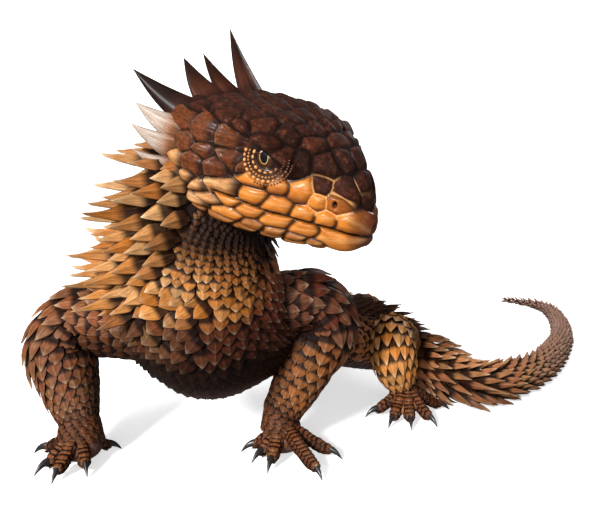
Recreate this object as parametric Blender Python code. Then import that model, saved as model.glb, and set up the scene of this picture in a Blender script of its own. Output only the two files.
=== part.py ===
"""A sungazer lizard as a still model at life size: it stands on four feet with
its forebody raised, its head turned to its left and its tail curled on the
floor. Sizes and places are in millimetres. X runs to the viewer's right, Y away
from the viewer and Z up, with the floor at zero. At the end one empty moves the
whole animal so that the middle of its box stands over the origin."""

import math
import random

import bmesh
import bpy
from mathutils import Matrix, Vector

MM = 0.001
GAP = 0.3
ROUND = 2.0 * math.pi

# The pose of the head: the middle of its rear edge, then its turn to the left,
# its nod and its tilt in degrees.
HEAD_PLACE = (-18.8, 188.0, 87.0)
HEAD_TURN, HEAD_NOD, HEAD_TILT = 40.0, 15.7, 6.1

# Sections of the neck and trunk from head to tail: centre, half width, reach to
# the back line, reach to the belly line, and the direction of the back line.
TRUNK = (
    (-13.5, 185.5, 87.0, 13.0, 11.0, 12.0, -0.30, 0.90, 0.35),
    (-19.5, 186.0, 78.5, 15.0, 14.0, 14.0, -0.22, 0.92, 0.34),
    (-24.0, 186.0, 69.5, 16.2, 15.0, 16.0, -0.12, 0.92, 0.38),
    (-26.0, 188.0, 58.5, 18.0, 16.0, 19.5, -0.04, 0.88, 0.48),
    (-26.0, 193.5, 47.0, 19.9, 16.2, 24.0, 0.00, 0.75, 0.66),
    (-24.5, 203.0, 38.5, 22.4, 15.8, 24.0, 0.00, 0.42, 0.91),
    (-18.5, 216.0, 34.5, 24.5, 14.0, 20.0, 0.00, 0.10, 0.99),
    (-9.0, 230.0, 30.5, 26.5, 12.0, 16.0, 0.00, 0.00, 1.00),
    (3.0, 240.0, 26.5, 26.0, 10.6, 14.0, 0.00, 0.00, 1.00),
    (16.0, 245.5, 22.0, 22.0, 9.6, 12.5, 0.00, 0.00, 1.00),
    (28.0, 247.0, 18.5, 17.0, 9.3, 11.0, 0.00, 0.00, 1.00),
    (37.0, 244.5, 14.5, 11.3, 7.7, 9.0, 0.00, 0.00, 1.00),
)

# The tail lies on the floor from its third section on.
TAIL = (
    (44.0, 240.5, 10.8, 8.0, 6.3, 7.6, 0.0, 0.0, 1.0),
    (50.1, 236.0, 8.4, 6.5, 5.4, 6.6, 0.0, 0.0, 1.0),
    (55.7, 234.0, 7.0, 5.9, 4.9, 6.4, 0.0, 0.0, 1.0),
    (61.8, 234.8, 6.2, 5.6, 4.7, 6.2, 0.0, 0.0, 1.0),
    (68.4, 238.2, 5.6, 5.3, 4.5, 5.6, 0.0, 0.0, 1.0),
    (76.3, 244.4, 5.1, 5.0, 4.3, 5.1, 0.0, 0.0, 1.0),
    (85.4, 254.3, 4.6, 4.6, 4.0, 4.6, 0.0, 0.0, 1.0),
    (96.6, 271.4, 4.1, 4.0, 3.5, 4.1, 0.0, 0.0, 1.0),
    (108.4, 295.2, 3.5, 3.3, 3.0, 3.5, 0.0, 0.0, 1.0),
    (117.1, 322.6, 2.9, 2.6, 2.4, 2.9, 0.0, 0.0, 1.0),
    (121.1, 349.7, 2.3, 1.9, 1.8, 2.3, 0.0, 0.0, 1.0),
    (117.1, 365.1, 1.7, 1.3, 1.2, 1.7, 0.0, 0.0, 1.0),
    (106.5, 376.4, 1.1, 0.5, 0.5, 0.9, 0.0, 0.0, 1.0),
)

# Nodes along the body: name, the sections where it starts and ends, its rings
# of scutes and the scutes in a ring. Section numbers run on from trunk to tail.
BODY_LENGTHS = (
    ("neck", 0.0, 3.4, 7, 18),
    ("chest", 3.4, 6.5, 8, 20),
    ("abdomen", 6.5, 9.0, 6, 20),
    ("pelvis", 9.0, 11.6, 5, 16),
    ("tail_1", 11.6, 16.2, 6, 10),
    ("tail_2", 16.2, 18.8, 8, 10),
    ("tail_3", 18.8, 20.9, 9, 10),
    ("tail_4", 20.9, 22.5, 7, 8),
    ("tail_5", 22.5, 24.0, 6, 8),
)
NODES_BESIDE_LEGS = ("chest", "abdomen", "pelvis", "tail_1")
FINE_STEPS = 200

# Height of the scutes over the back, the flank and the belly by section number,
# and how far a tip leans past its scute's rear edge, as a share of its length.
SCUTES = (
    (0.0, 2.5, 4.0, 0.6, 0.10),
    (1.0, 4.0, 7.5, 0.7, 0.00),
    (2.0, 4.2, 9.5, 0.9, 0.00),
    (3.0, 3.4, 9.0, 1.2, 0.05),
    (4.0, 2.4, 6.0, 1.5, 0.20),
    (5.0, 2.2, 4.0, 1.3, 0.30),
    (7.0, 2.6, 3.4, 0.8, 0.30),
    (9.0, 2.8, 3.2, 0.6, 0.30),
    (11.0, 2.6, 2.8, 0.4, 0.30),
    (13.0, 3.0, 3.2, 0.0, 0.45),
    (18.0, 2.4, 2.6, 0.0, 0.45),
    (21.0, 1.3, 1.3, 0.0, 0.45),
    (24.0, 0.5, 0.5, 0.0, 0.30),
)
FLANK_ANGLE, BELLY_ANGLE = math.radians(80.0), math.radians(140.0)
BELLY_LEAN = 0.1
SCUTE_VARIETY = (0.86, 1.12)
SMALLEST_SCUTE = 0.3

# A section of the tail whose underside comes this near the floor lies on it.
FLOOR_CONTACT = 0.1

# A scute's two shoulders: how far they stand to the side of its tip, as a share
# of its width, how high, as a share of the tip, and how far in front of it.
SHOULDER_SIDE, SHOULDER_HEIGHT, SHOULDER_BACK = 0.4, 0.6, 0.2

# Scutes are low where a leg or the head comes near: the room kept free, and the
# distance over which they grow to their full height.
LEG_ROOM, LEG_SPREAD = 2.2, 3.0
HEAD_SPREAD = 6.0

# The neck's spines stand lower on its left, where the turned head folds it.
NECK_FOLD = 0.45

# Scales of the legs, and the distances over which they grow from nothing away
# from the fold of the leg and from the trunk.
LEG_SCALE_OUTER, LEG_SCALE_INNER, LEG_SCALE_LEAN = 1.8, 0.8, 0.5
FOLD_SPREAD = 2.5
TRUNK_SPREAD = 2.5

# Legs: names of the two lengths and the foot, where the leg leaves the body,
# its bend, its end at the wrist or ankle, the radius of the bend, and the leg's
# half thickness at root, bend and end.
LEGS = {
    "right_fore": {
        "nodes": ("upper_arm_right", "forearm_right", "hand_right"),
        "root": (-36.0, 205.0, 34.4), "bend": (-70.8, 206.5, 35.2),
        "end": (-61.0, 192.5, 10.5), "bend_radius": 8.5, "reach": (10.6, 9.6, 5.6),
        "palm": (-60.6, 190.8, 3.7),
        "toes": ((-74.5, 193.5), (-69.6, 179.7), (-63.5, 175.0), (-55.4, 178.9), (-50.6, 196.4)),
    },
    "left_fore": {
        "nodes": ("upper_arm_left", "forearm_left", "hand_left"),
        "root": (-14.0, 198.0, 40.5), "bend": (12.5, 203.5, 43.4),
        "end": (-5.0, 197.5, 11.3), "bend_radius": 7.0, "reach": (8.7, 8.5, 5.6),
        "palm": (-5.0, 196.0, 3.7),
        "toes": ((-16.6, 194.3), (-13.2, 187.0), (-8.6, 181.0), (5.8, 177.0), (11.6, 189.6)),
    },
    "left_hind": {
        "nodes": ("thigh_left", "shin_left", "foot_left"),
        "root": (34.6, 243.6, 16.2), "bend": (25.0, 216.0, 29.5),
        "end": (32.5, 225.0, 10.0), "bend_radius": 6.5, "reach": (7.8, 7.6, 4.4),
        "palm": (33.8, 224.0, 3.6),
        "toes": ((20.5, 219.4), (26.8, 210.7), (33.6, 209.0), (41.8, 211.6), (48.3, 225.8)),
    },
    "right_hind": {
        "nodes": ("thigh_right", "shin_right", "foot_right"),
        "root": (33.5, 251.0, 15.0), "bend": (22.0, 278.5, 20.8),
        "end": (17.5, 276.0, 10.4), "bend_radius": 6.5, "reach": (7.8, 7.6, 4.4),
        "palm": (16.0, 278.5, 3.6),
        "toes": ((9.0, 267.5), (1.5, 276.0), (1.9, 284.0), (7.5, 292.0), (22.0, 292.5)),
    },
}
LEG_COLUMNS = 10
LEG_RING_STEP = 3.6
BEND_RINGS = 4
LEG_FLATNESS = 0.94

# The lower leg thins towards its end on a curve of this power, and the inside of
# a bend stays this far from the bend's centre.
LEG_TAPER = 1.7
FOLD_CORE = 1.0

# Toes arch from the wrist or ankle to the floor: place along the toe as a share
# of its length, height of its middle, and half thickness.
TOE_STEPS = (0.0, 0.4, 0.8, 1.0)
TOE_RISE = (7.0, 5.6, 3.3, 2.6)
TOE_REACH = (2.5, 2.0, 1.7, 1.4)
TOE_SIDES = 8

# A claw's length, half thickness at its root, arch at its middle and drop at its
# tip, and how far a claw or spine has thinned at its middle.
CLAW_LENGTH, CLAW_REACH, CLAW_ARCH, CLAW_DROP = 4.2, 1.15, 0.35, -2.45
CLAW_MIDDLE, CLAW_SIDES = 0.5, 8
HORN_TAPER = 0.72

# The palm or sole widens from the wrist or ankle by these shares of the way down,
# and ends in a flat ball that the toes spread from.
PALM_STEPS = ((0.45, 1.12), (0.9, 1.22))
BALL_SPREAD, BALL_RISE = 1.2, 4.1

# The slab under the floor that cuts the feet flat: its sizes and its middle.
SLAB_SIZE, SLAB_PLACE = (600.0, 600.0, 20.0), (0.0, 220.0, -10.0)

# Sections of the head from its rear edge to the snout, in the head's own frame
# of forward, left and up: place, half width, crown, and the underside.
HEAD = (
    (-2.0, 17.0, 11.4, 12.0),
    (4.0, 19.2, 12.8, 13.5),
    (10.0, 19.6, 13.2, 14.0),
    (16.0, 18.6, 13.2, 14.8),
    (22.0, 17.0, 12.6, 14.8),
    (28.0, 14.8, 11.2, 14.6),
    (33.0, 11.8, 9.4, 14.2),
    (38.0, 9.0, 7.2, 13.7),
    (42.0, 6.6, 4.6, 13.1),
    (45.0, 4.8, 1.6, 12.3),
    (46.8, 2.7, -1.8, 10.6),
)
# Where the crown falls under this height, at the snout, the widest place of a
# section falls with it by this share.
SNOUT_CROWN, SNOUT_DROP = 4.6, 0.7

# The sides of the snout lean in towards the crown by this share, which grows from
# nothing at the first place to its full size at the second.
SNOUT_LEAN, SNOUT_LEAN_FROM, SNOUT_LEAN_TO = 0.26, 24.0, 36.0

# One half of a section of the head as shares of its half width and height, from
# the middle of the crown over brow, temple, lips and jaw to the throat.
HEAD_OUTLINE = (
    (0.0, 1.0), (0.30, 0.99), (0.58, 0.94), (0.82, 0.78), (0.93, 0.42), (1.0, 0.05),
    (1.0, -0.33), (0.95, -0.61), (0.85, -0.83), (0.58, -0.97), (0.2, -1.0), (0.0, -1.0),
)

# The mouth line from in front of the snout to behind the jaw, forward and up. The
# lower edge of the cut is set back a little, so that the cut keeps its width down
# the slopes. It is cut with a blade that reaches past both sides of the head.
MOUTH = ((60.0, -7.4), (46.0, -7.6), (36.0, -8.3), (26.0, -8.4), (17.0, -8.8), (8.0, -24.0))
BLADE_SETBACK, BLADE_REACH = 0.1, 30.0

# The eyeball, the lids round it, the oval opening between the lids with its middle
# measured from the eye's outermost point, and the brow over the eye.
EYE_REACH = 4.2
EYE_PLACE = (25.3, 10.3, 4.9)
LID_THICKNESS = 1.2
OPENING_REACH, OPENING_SHIFT = (3.5, 4.0, 2.6), (0.3, 0.5, -0.2)
BROW_PLACE, BROW_REACH = (27.0, 9.7, 8.4), (6.6, 3.4, 2.3)

# Horny plates of the head: the depth and width of the grooves between them, how
# far the rear edge of a temple plate stands up, where the temples end, how much
# the plates' heights vary, the largest share of a small plate that its groove
# takes, and how far from the middle of the eye the plates begin.
GROOVE_DEPTH, GROOVE_WIDTH = 0.5, 0.45
TEMPLE_LIFT, TEMPLE_END = 0.7, 18.0
PLATE_VARIETY = 0.2
SMALL_PLATE = 0.3
PLATES_FROM_EYE = 8.4
NOSTRIL_PLACE = (41.2, 6.2, -1.6)
NOSTRIL_REACH = (0.9, 1.44, 0.9)

SPINE_SIDES, SPINE_FLATNESS, SPINE_MIDDLE = 6, 0.6, 0.45

# Spines round the rear of the head, in the head's frame: root, tip and the half
# width at the root, with the two halves a little unlike.
HEAD_SPINES = (
    ((0.1, 9.6, 9.6), (-14.9, 12.2, 24.4), 4.2),
    ((0.4, -12.0, 7.9), (-15.2, -17.9, 15.2), 4.3),
    ((-0.7, 2.7, 10.1), (-13.3, 2.1, 18.7), 3.5),
    ((-0.7, -4.5, 9.9), (-11.5, -5.7, 18.2), 3.5),
    ((1.0, -15.2, 4.4), (-10.6, -20.4, 8.6), 3.7),
    ((1.0, -16.2, 0.2), (-9.7, -22.0, 3.8), 3.7),
    ((1.0, -16.2, -4.4), (-8.2, -22.5, -1.9), 3.4),
    ((1.0, 15.2, 4.6), (-10.0, 20.6, 8.8), 3.7),
    ((1.0, 16.2, 0.0), (-9.9, 22.0, 3.6), 3.7),
    ((1.0, 16.2, -4.6), (-8.6, 22.4, -2.1), 3.4),
)

FINISHES = {
    "head_scales": ((0.20, 0.075, 0.030), 0.42),
    "jaw_scales": ((0.62, 0.28, 0.06), 0.38),
    "neck_scales": ((0.48, 0.24, 0.09), 0.45),
    "back_scutes": ((0.17, 0.085, 0.035), 0.50),
    "leg_scales": ((0.36, 0.16, 0.07), 0.46),
    "tail_scutes": ((0.40, 0.18, 0.08), 0.48),
    "claw_horn": ((0.015, 0.012, 0.012), 0.25),
    "eye": ((0.05, 0.03, 0.01), 0.08),
}


class Section:
    """A flat cross-section of the body: an oval with its own reach to the back
    line and to the belly line."""

    def __init__(self, centre, left, dorsal, half_width, above, below):
        self.centre = centre
        self.left = left.normalized()
        self.dorsal = dorsal.normalized()
        self.half_width = half_width
        self.above = above
        self.below = below

    def point(self, angle, lift=0.0):
        """The point at an angle from the back line, lifted off the oval."""
        side, up = math.sin(angle), math.cos(angle)
        reach = self.above if up > 0 else self.below
        outward = self.left * (side / self.half_width) + self.dorsal * (up / reach)
        on_oval = self.left * (side * self.half_width) + self.dorsal * (up * reach)
        return self.centre + on_oval + outward.normalized() * lift

    def moved(self, distance):
        """The same section moved along the body, towards the tail or the toes."""
        forward = self.dorsal.cross(self.left)
        return Section(self.centre + forward * distance, self.left, self.dorsal,
                       self.half_width, self.above, self.below)


def between(rows, position):
    """A row read between the rows of a table, on a smooth curve through them."""
    start = min(int(position), len(rows) - 2)
    share = position - start
    picked = [rows[max(0, min(len(rows) - 1, start + step))] for step in (-1, 0, 1, 2)]
    return [
        0.5 * (2 * b + (c - a) * share + (2 * a - 5 * b + 4 * c - d) * share ** 2
               + (3 * b - a - 3 * c + d) * share ** 3)
        for a, b, c, d in zip(*picked)
    ]


def body_section(position):
    """The section at a position in the tables of trunk and tail."""
    rows = TRUNK + TAIL
    row = between(rows, position)
    ahead = Vector(between(rows, min(position + 0.02, len(rows) - 1))[:3])
    behind = Vector(between(rows, max(position - 0.02, 0.0))[:3])
    dorsal = Vector(row[6:9])
    return Section(Vector(row[:3]), (ahead - behind).cross(dorsal), dorsal, *row[3:6])


def even_positions(first, last, count):
    """Positions in the table that part a length of the body into even steps."""
    fine = [first + (last - first) * step / FINE_STEPS for step in range(FINE_STEPS + 1)]
    places = [Vector(between(TRUNK + TAIL, position)[:3]) for position in fine]
    run = [0.0]
    for here, there in zip(places, places[1:]):
        run.append(run[-1] + (there - here).length)
    found = []
    for step in range(count + 1):
        wanted = run[-1] * step / count
        index = min(sum(length < wanted for length in run), FINE_STEPS)
        found.append(fine[index])
    return found


def body_sections(first, last, count):
    """The sections of one node of the body, with half a gap left at each end."""
    sections = [body_section(position) for position in even_positions(first, last, count)]
    sections[0] = sections[0].moved(GAP / 2)
    sections[-1] = sections[-1].moved(-GAP / 2)
    return sections


def tube(sections, columns, lift=0.0):
    """Points and faces of a closed tube through sections."""
    angles = [ROUND * (column - 0.5) / columns for column in range(columns)]
    points = [section.point(angle, lift) for section in sections for angle in angles]
    faces = []
    for ring in range(len(sections) - 1):
        for column in range(columns):
            beside = (column + 1) % columns
            start, end = ring * columns, (ring + 1) * columns
            faces.append((start + column, start + beside, end + beside, end + column))
    faces.append(tuple(range(columns)))
    faces.append(tuple(range((len(sections) - 1) * columns, len(sections) * columns)))
    return points, faces


def shingled_tube(sections, columns, scute_at):
    """Points and faces of a closed tube whose skin rises in rings of scutes, one
    ring between each two sections. Each scute slopes up from its front edge to
    two shoulders and a tip over its rear edge, or straight to a tip if it is a
    spine. No scute of the last ring reaches past the end."""
    turn = ROUND / columns
    points = [section.point((column - 0.5) * turn) for section in sections for column in range(columns)]
    faces = []
    for ring, (front, rear) in enumerate(zip(sections, sections[1:])):
        last = ring == len(sections) - 2
        for column in range(columns):
            beside = (column + 1) % columns
            a, b = ring * columns + column, ring * columns + beside
            c, d = b + columns, a + columns
            angle = column * turn
            height, lean, spine = scute_at(ring, angle, front, rear)
            if height < SMALLEST_SCUTE:
                faces.append((a, b, c, d))
                continue
            along = rear.point(angle) - front.point(angle)
            lean = -SHOULDER_BACK if last else lean
            tip = len(points)
            points.append(rear.point(angle, height) + along * lean)
            if spine:
                faces += [(a, b, tip), (b, c, tip), (c, d, tip), (d, a, tip)]
                continue
            for side in (-1.0, 1.0):
                shoulder = rear.point(angle + side * SHOULDER_SIDE * turn, height * SHOULDER_HEIGHT)
                points.append(shoulder - along * SHOULDER_BACK)
            low, high = tip + 1, tip + 2
            faces += [(a, b, high, low), (low, high, tip), (a, low, d), (b, c, high),
                      (low, tip, d), (high, c, tip), (tip, c, d)]
    faces.append(tuple(range(columns)))
    faces.append(tuple(range((len(sections) - 1) * columns, len(sections) * columns)))
    return points, faces


def scaled_tube(sections, columns, height_at):
    """Points and faces of a closed tube covered with staggered scales, each a
    rhomb over two rings that rises to a tip over its rear corner."""
    turn = ROUND / columns
    points = [section.point((column + ring % 2 / 2) * turn)
              for ring, section in enumerate(sections) for column in range(columns)]
    last = len(sections) - 1
    faces = []
    for ring, section in enumerate(sections):
        for column in range(columns):
            left, right = ring * columns + column, ring * columns + (column + 1) % columns
            middle = (column + ring % 2) % columns
            front, back = (ring - 1) * columns + middle, (ring + 1) * columns + middle
            if ring == 0:
                faces.append((left, right, back))
                continue
            if ring == last:
                faces.append((left, front, right))
                continue
            angle = (column + 0.5 + ring % 2 / 2) * turn
            rear = sections[ring + 1]
            height = height_at(angle, rear)
            if height < SMALLEST_SCUTE:
                faces += [(front, right, left), (left, right, back)]
                continue
            step = rear.point(angle) - section.point(angle)
            lean = -SHOULDER_BACK if ring == last - 1 else LEG_SCALE_LEAN
            points.append(rear.point(angle, height) + step * lean)
            tip = len(points) - 1
            faces += [(front, right, tip), (front, tip, left), (right, back, tip), (back, left, tip)]
    faces.append(tuple(range(columns)))
    faces.append(tuple(range(last * columns, (last + 1) * columns)))
    return points, faces


def eased(share):
    """A share from nought to one that starts and ends gently."""
    share = max(0.0, min(1.0, share))
    return share * share * (3.0 - 2.0 * share)


def scute_sizes(position, angle):
    """Height and lean of a scute by its place along and round the body."""
    for low, high in zip(SCUTES, SCUTES[1:]):
        if position <= high[0]:
            break
    share = min(1.0, (position - low[0]) / (high[0] - low[0]))
    back, flank, belly, lean = (a + (b - a) * share for a, b in zip(low[1:], high[1:]))
    turned = abs((angle + math.pi) % ROUND - math.pi)
    if turned < FLANK_ANGLE:
        return back + (flank - back) * eased(turned / FLANK_ANGLE), lean
    share = eased((turned - FLANK_ANGLE) / (BELLY_ANGLE - FLANK_ANGLE))
    return flank + (belly - flank) * share, lean + BELLY_LEAN * share


def leg_gap(point):
    """How far a point lies from the nearest leg's skin."""
    found = []
    for leg in LEGS.values():
        root, bend, end = (Vector(leg[key]) for key in ("root", "bend", "end"))
        for start, stop in ((root, bend), (bend, end)):
            way = stop - start
            share = max(0.0, min(1.0, (point - start).dot(way) / way.length_squared))
            found.append((point - start - way * share).length - leg["reach"][0])
    return min(found)


def head_gap(point):
    """How far a point lies from the skin of the head, roughly."""
    x, y, z = head_pose().inverted() @ point
    place, half_width, crown, underside = min(HEAD, key=lambda row: abs(row[0] - x))
    middle, half_height = (crown - underside) / 2, (crown + underside) / 2
    beside = max(abs(y) - half_width, abs(z - middle) - half_height, 0.0)
    behind = max(HEAD[0][0] - x, 0.0)
    return math.hypot(beside, behind)


def body_node(name, first, last, rings, columns):
    """One length of the body with its scutes, lower beside the legs and head."""
    chance = random.Random(name)
    positions = even_positions(first, last, rings)

    def scute_at(ring, angle, front, rear):
        height, lean = scute_sizes(positions[ring + 1], angle)
        height *= chance.uniform(*SCUTE_VARIETY)
        places = (front.point(angle).lerp(rear.point(angle), 0.5), rear.point(angle),
                  rear.point(angle, height))
        room = eased((min(leg_gap(place) for place in places) - LEG_ROOM) / LEG_SPREAD)
        if name == "neck":
            room *= eased(min(head_gap(place) for place in places) / HEAD_SPREAD)
            room *= 1.0 - NECK_FOLD * max(0.0, math.sin(angle))
        return height * room, lean * room, name == "neck" or name.startswith("tail")

    sections = body_sections(first, last, rings)
    for section in sections:
        if section.centre.z < section.below + FLOOR_CONTACT:
            section.below = section.centre.z / math.cos(math.pi / columns)
    return shingled_tube(sections, columns, scute_at)


def trunk_gap(point):
    """How far a point lies from the skin of the trunk."""
    section = min(TRUNK_SECTIONS, key=lambda section: (section.centre - point).length)
    offset = point - section.centre
    side, up = offset.dot(section.left), offset.dot(section.dorsal)
    reach = section.above if up > 0 else section.below
    share = math.hypot(side / section.half_width, up / reach)
    return math.hypot(side, up) * (1.0 - 1.0 / max(share, 0.1))


def leg_bend(leg):
    """The bend of a leg: its two straight ways, the angle and the axis that it
    turns through, and the start and the centre of its arc."""
    root, bend, end = (Vector(leg[key]) for key in ("root", "bend", "end"))
    down, on = (bend - root).normalized(), (end - bend).normalized()
    turn, axis = down.angle(on), on.cross(down).normalized()
    arc_start = bend - down * leg["bend_radius"] * math.tan(turn / 2)
    return down, on, turn, axis, arc_start, arc_start - axis.cross(down) * leg["bend_radius"]


def leg_scale_at(leg):
    """The height of a leg's scales: most on the outer side, less on a thinner
    section, and nothing in the fold of the leg or against the trunk."""
    axis, _, arc_centre = leg_bend(leg)[3:]

    def height_at(angle, section):
        place = section.point(angle)
        outer = (1.0 + math.cos(angle)) / 2
        height = LEG_SCALE_INNER + (LEG_SCALE_OUTER - LEG_SCALE_INNER) * outer
        height *= section.above / leg["reach"][0]
        from_fold = (place - arc_centre).cross(axis).length
        height *= eased(from_fold / FOLD_SPREAD - 1.0)
        return height * eased(trunk_gap(place) / TRUNK_SPREAD)

    return height_at


def leg_sections(leg, from_root):
    """The sections of one length of a leg: straight, round half of its bend, or
    the other half and straight on. The outer side of the bend is its dorsal."""
    down, on, turn, axis, arc_start, arc_centre = leg_bend(leg)
    root, bend, end = (Vector(leg[key]) for key in ("root", "bend", "end"))
    radius = leg["bend_radius"]
    arc_end = bend + (bend - arc_start).length * on
    lengths = ((arc_start - root).length, radius * turn, (end - arc_end).length)
    root_reach, bend_reach, end_reach = leg["reach"]

    def reach_at(run):
        middle = lengths[0] + lengths[1] / 2
        if run < middle:
            return root_reach + (bend_reach - root_reach) * run / middle
        share = (run - middle) / (sum(lengths) - middle)
        return bend_reach + (end_reach - bend_reach) * share ** LEG_TAPER

    def section(centre, along, run, bent):
        reach = reach_at(run)
        inner = min(reach, radius - FOLD_CORE) if bent else reach
        outward = axis.cross(along)
        return Section(centre, along.cross(outward), outward, reach * LEG_FLATNESS, reach, inner)

    found = []
    if from_root:
        steps = max(2, round(lengths[0] / LEG_RING_STEP))
        for step in range(steps):
            run = lengths[0] * step / steps
            found.append(section(root + down * run, down, run, step == steps - 1))
    first = 0 if from_root else BEND_RINGS
    for step in range(first, first + BEND_RINGS + 1):
        angle = turn * step / (2 * BEND_RINGS)
        along = Matrix.Rotation(-angle, 3, axis) @ down
        centre = arc_centre + axis.cross(along) * radius
        found.append(section(centre, along, lengths[0] + radius * angle, True))
    if not from_root:
        steps = max(2, round(lengths[2] / LEG_RING_STEP))
        for step in range(1, steps + 1):
            run = lengths[2] * step / steps
            found.append(section(arc_end + on * run, on, lengths[0] + lengths[1] + run, False))
        found[0] = found[0].moved(GAP / 2)
    found[-1] = found[-1].moved(-GAP / 2)
    return found


def horn(centres, reaches, sides, flatness=1.0, up=Vector((0.0, 0.0, 1.0))):
    """Points and faces of a tapered spine or claw that ends in a point."""
    points, faces = [], []
    for index, (centre, reach) in enumerate(zip(centres[:-1], reaches)):
        along = centres[index + 1] - centres[max(index - 1, 0)]
        left = up.cross(along).normalized()
        dorsal = along.cross(left).normalized()
        section = Section(centre, left, dorsal, reach, reach * flatness, reach * flatness)
        points += [section.point(ROUND * side / sides) for side in range(sides)]
    points.append(centres[-1])
    for ring in range(len(centres) - 2):
        for side in range(sides):
            beside = (side + 1) % sides
            start, end = ring * sides, (ring + 1) * sides
            faces.append((start + side, start + beside, end + beside, end + side))
    last = (len(centres) - 2) * sides
    faces += [(last + side, last + (side + 1) % sides, len(points) - 1) for side in range(sides)]
    faces.append(tuple(range(sides)))
    return points, faces


def material(slot):
    """The one material of a slot, with its colour and gloss."""
    made = bpy.data.materials.get(slot) or bpy.data.materials.new(slot)
    made.use_nodes = True
    colour, roughness = FINISHES[slot]
    shader = made.node_tree.nodes["Principled BSDF"]
    shader.inputs["Base Color"].default_value = (*colour, 1.0)
    shader.inputs["Roughness"].default_value = roughness
    made.diffuse_color = (*colour, 1.0)
    return made


def solid(name, points, faces, slot=None):
    """A mesh object from points in millimetres, its faces turned outward. Bent
    faces are split into triangles the same way on a piece and on its room."""
    mesh = bpy.data.meshes.new(name)
    mesh.from_pydata([Vector(point) * MM for point in points], [], faces)
    shape = bmesh.new()
    shape.from_mesh(mesh)
    bmesh.ops.triangulate(shape, faces=shape.faces, quad_method="FIXED")
    bmesh.ops.recalc_face_normals(shape, faces=shape.faces)
    shape.to_mesh(mesh)
    shape.free()
    made = bpy.data.objects.new(name, mesh)
    ANIMAL.objects.link(made)
    if slot:
        mesh.materials.append(material(slot))
    return made


def combine(target, operation, others, solver="MANIFOLD"):
    """Joins other objects to the target, or cuts them from it, in one Boolean,
    keeps the largest closed surface and removes the others."""
    helpers = bpy.data.collections.new("helpers")
    bpy.context.scene.collection.children.link(helpers)
    for other in others:
        for owner in other.users_collection:
            owner.objects.unlink(other)
        helpers.objects.link(other)
    modifier = target.modifiers.new(operation.lower(), "BOOLEAN")
    modifier.operation = operation
    modifier.operand_type = "COLLECTION"
    modifier.collection = helpers
    modifier.solver = solver
    bpy.context.view_layer.update()
    graph = bpy.context.evaluated_depsgraph_get()
    mesh = bpy.data.meshes.new_from_object(target.evaluated_get(graph))
    target.modifiers.clear()
    target.data = mesh
    for other in others:
        bpy.data.objects.remove(other)
    bpy.data.collections.remove(helpers)


def closed_parts(shape):
    """The separate closed surfaces of a bmesh, largest first."""
    left, parts = set(shape.faces), []
    while left:
        part, edge = set(), [left.pop()]
        while edge:
            face = edge.pop()
            part.add(face)
            for line in face.edges:
                for beside in line.link_faces:
                    if beside in left:
                        left.remove(beside)
                        edge.append(beside)
        parts.append(part)
    parts.sort(key=lambda part: -sum(face.calc_area() for face in part))
    return parts


def keep_part(target, rank=0):
    """Keeps one closed surface of an object, by its rank in size."""
    shape = bmesh.new()
    shape.from_mesh(target.data)
    kept = closed_parts(shape)[rank]
    bmesh.ops.delete(shape, geom=[face for face in shape.faces if face not in kept],
                     context="FACES")
    shape.to_mesh(target.data)
    shape.free()


def head_pose():
    """The head's frame in the animal's: forward, left and up."""
    turn, nod, tilt = (math.radians(angle) for angle in (HEAD_TURN, HEAD_NOD, HEAD_TILT))
    facing_right = Matrix.Rotation(-turn, 4, "Z")
    return (Matrix.Translation(Vector(HEAD_PLACE)) @ facing_right
            @ Matrix.Rotation(nod, 4, "Y") @ Matrix.Rotation(tilt, 4, "X"))


def in_head(points):
    """Points given in the head's frame, in the animal's."""
    pose = head_pose()
    return [pose @ Vector(point) for point in points]


def head_points(lift=0.0):
    """The head's sections as rings of points in its own frame, lifted outward."""
    outline = list(HEAD_OUTLINE) + [(-side, up) for side, up in HEAD_OUTLINE[-2:0:-1]]
    points = []
    for number, (place, half_width, crown, underside) in enumerate(HEAD):
        middle = (crown - underside) / 2
        widest = min(0.0, (crown - SNOUT_CROWN) * SNOUT_DROP)
        ends = {0: -1.0, len(HEAD) - 1: 1.0}
        forward = place + ends.get(number, 0.0) * max(lift, 0.0)
        lean = SNOUT_LEAN * eased((place - SNOUT_LEAN_FROM) / (SNOUT_LEAN_TO - SNOUT_LEAN_FROM))
        for side, up in outline:
            high = widest + up * (crown - widest if up > 0 else underside + widest)
            wide = side * half_width * (1.0 - lean * max(0.0, up))
            out = Vector((0.0, wide, high - middle)).normalized() * lift
            points.append(Vector((forward, wide + out.y, high + out.z)))
    return points, len(outline)


def head_quads(count):
    """The corners of each plate between two sections of the head."""
    for ring in range(len(HEAD) - 1):
        for column in range(count):
            beside = (column + 1) % count
            start, end = ring * count, (ring + 1) * count
            yield start + column, start + beside, end + beside, end + column


def head_ends(count):
    """The flat faces at the rear and at the snout."""
    return [tuple(range(count)), tuple(range((len(HEAD) - 1) * count, len(HEAD) * count))]


def head_form(lift=0.0):
    """Points and faces of the whole head with its jaw, as one smooth form."""
    points, count = head_points(lift)
    return in_head(points), list(head_quads(count)) + head_ends(count)


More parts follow.
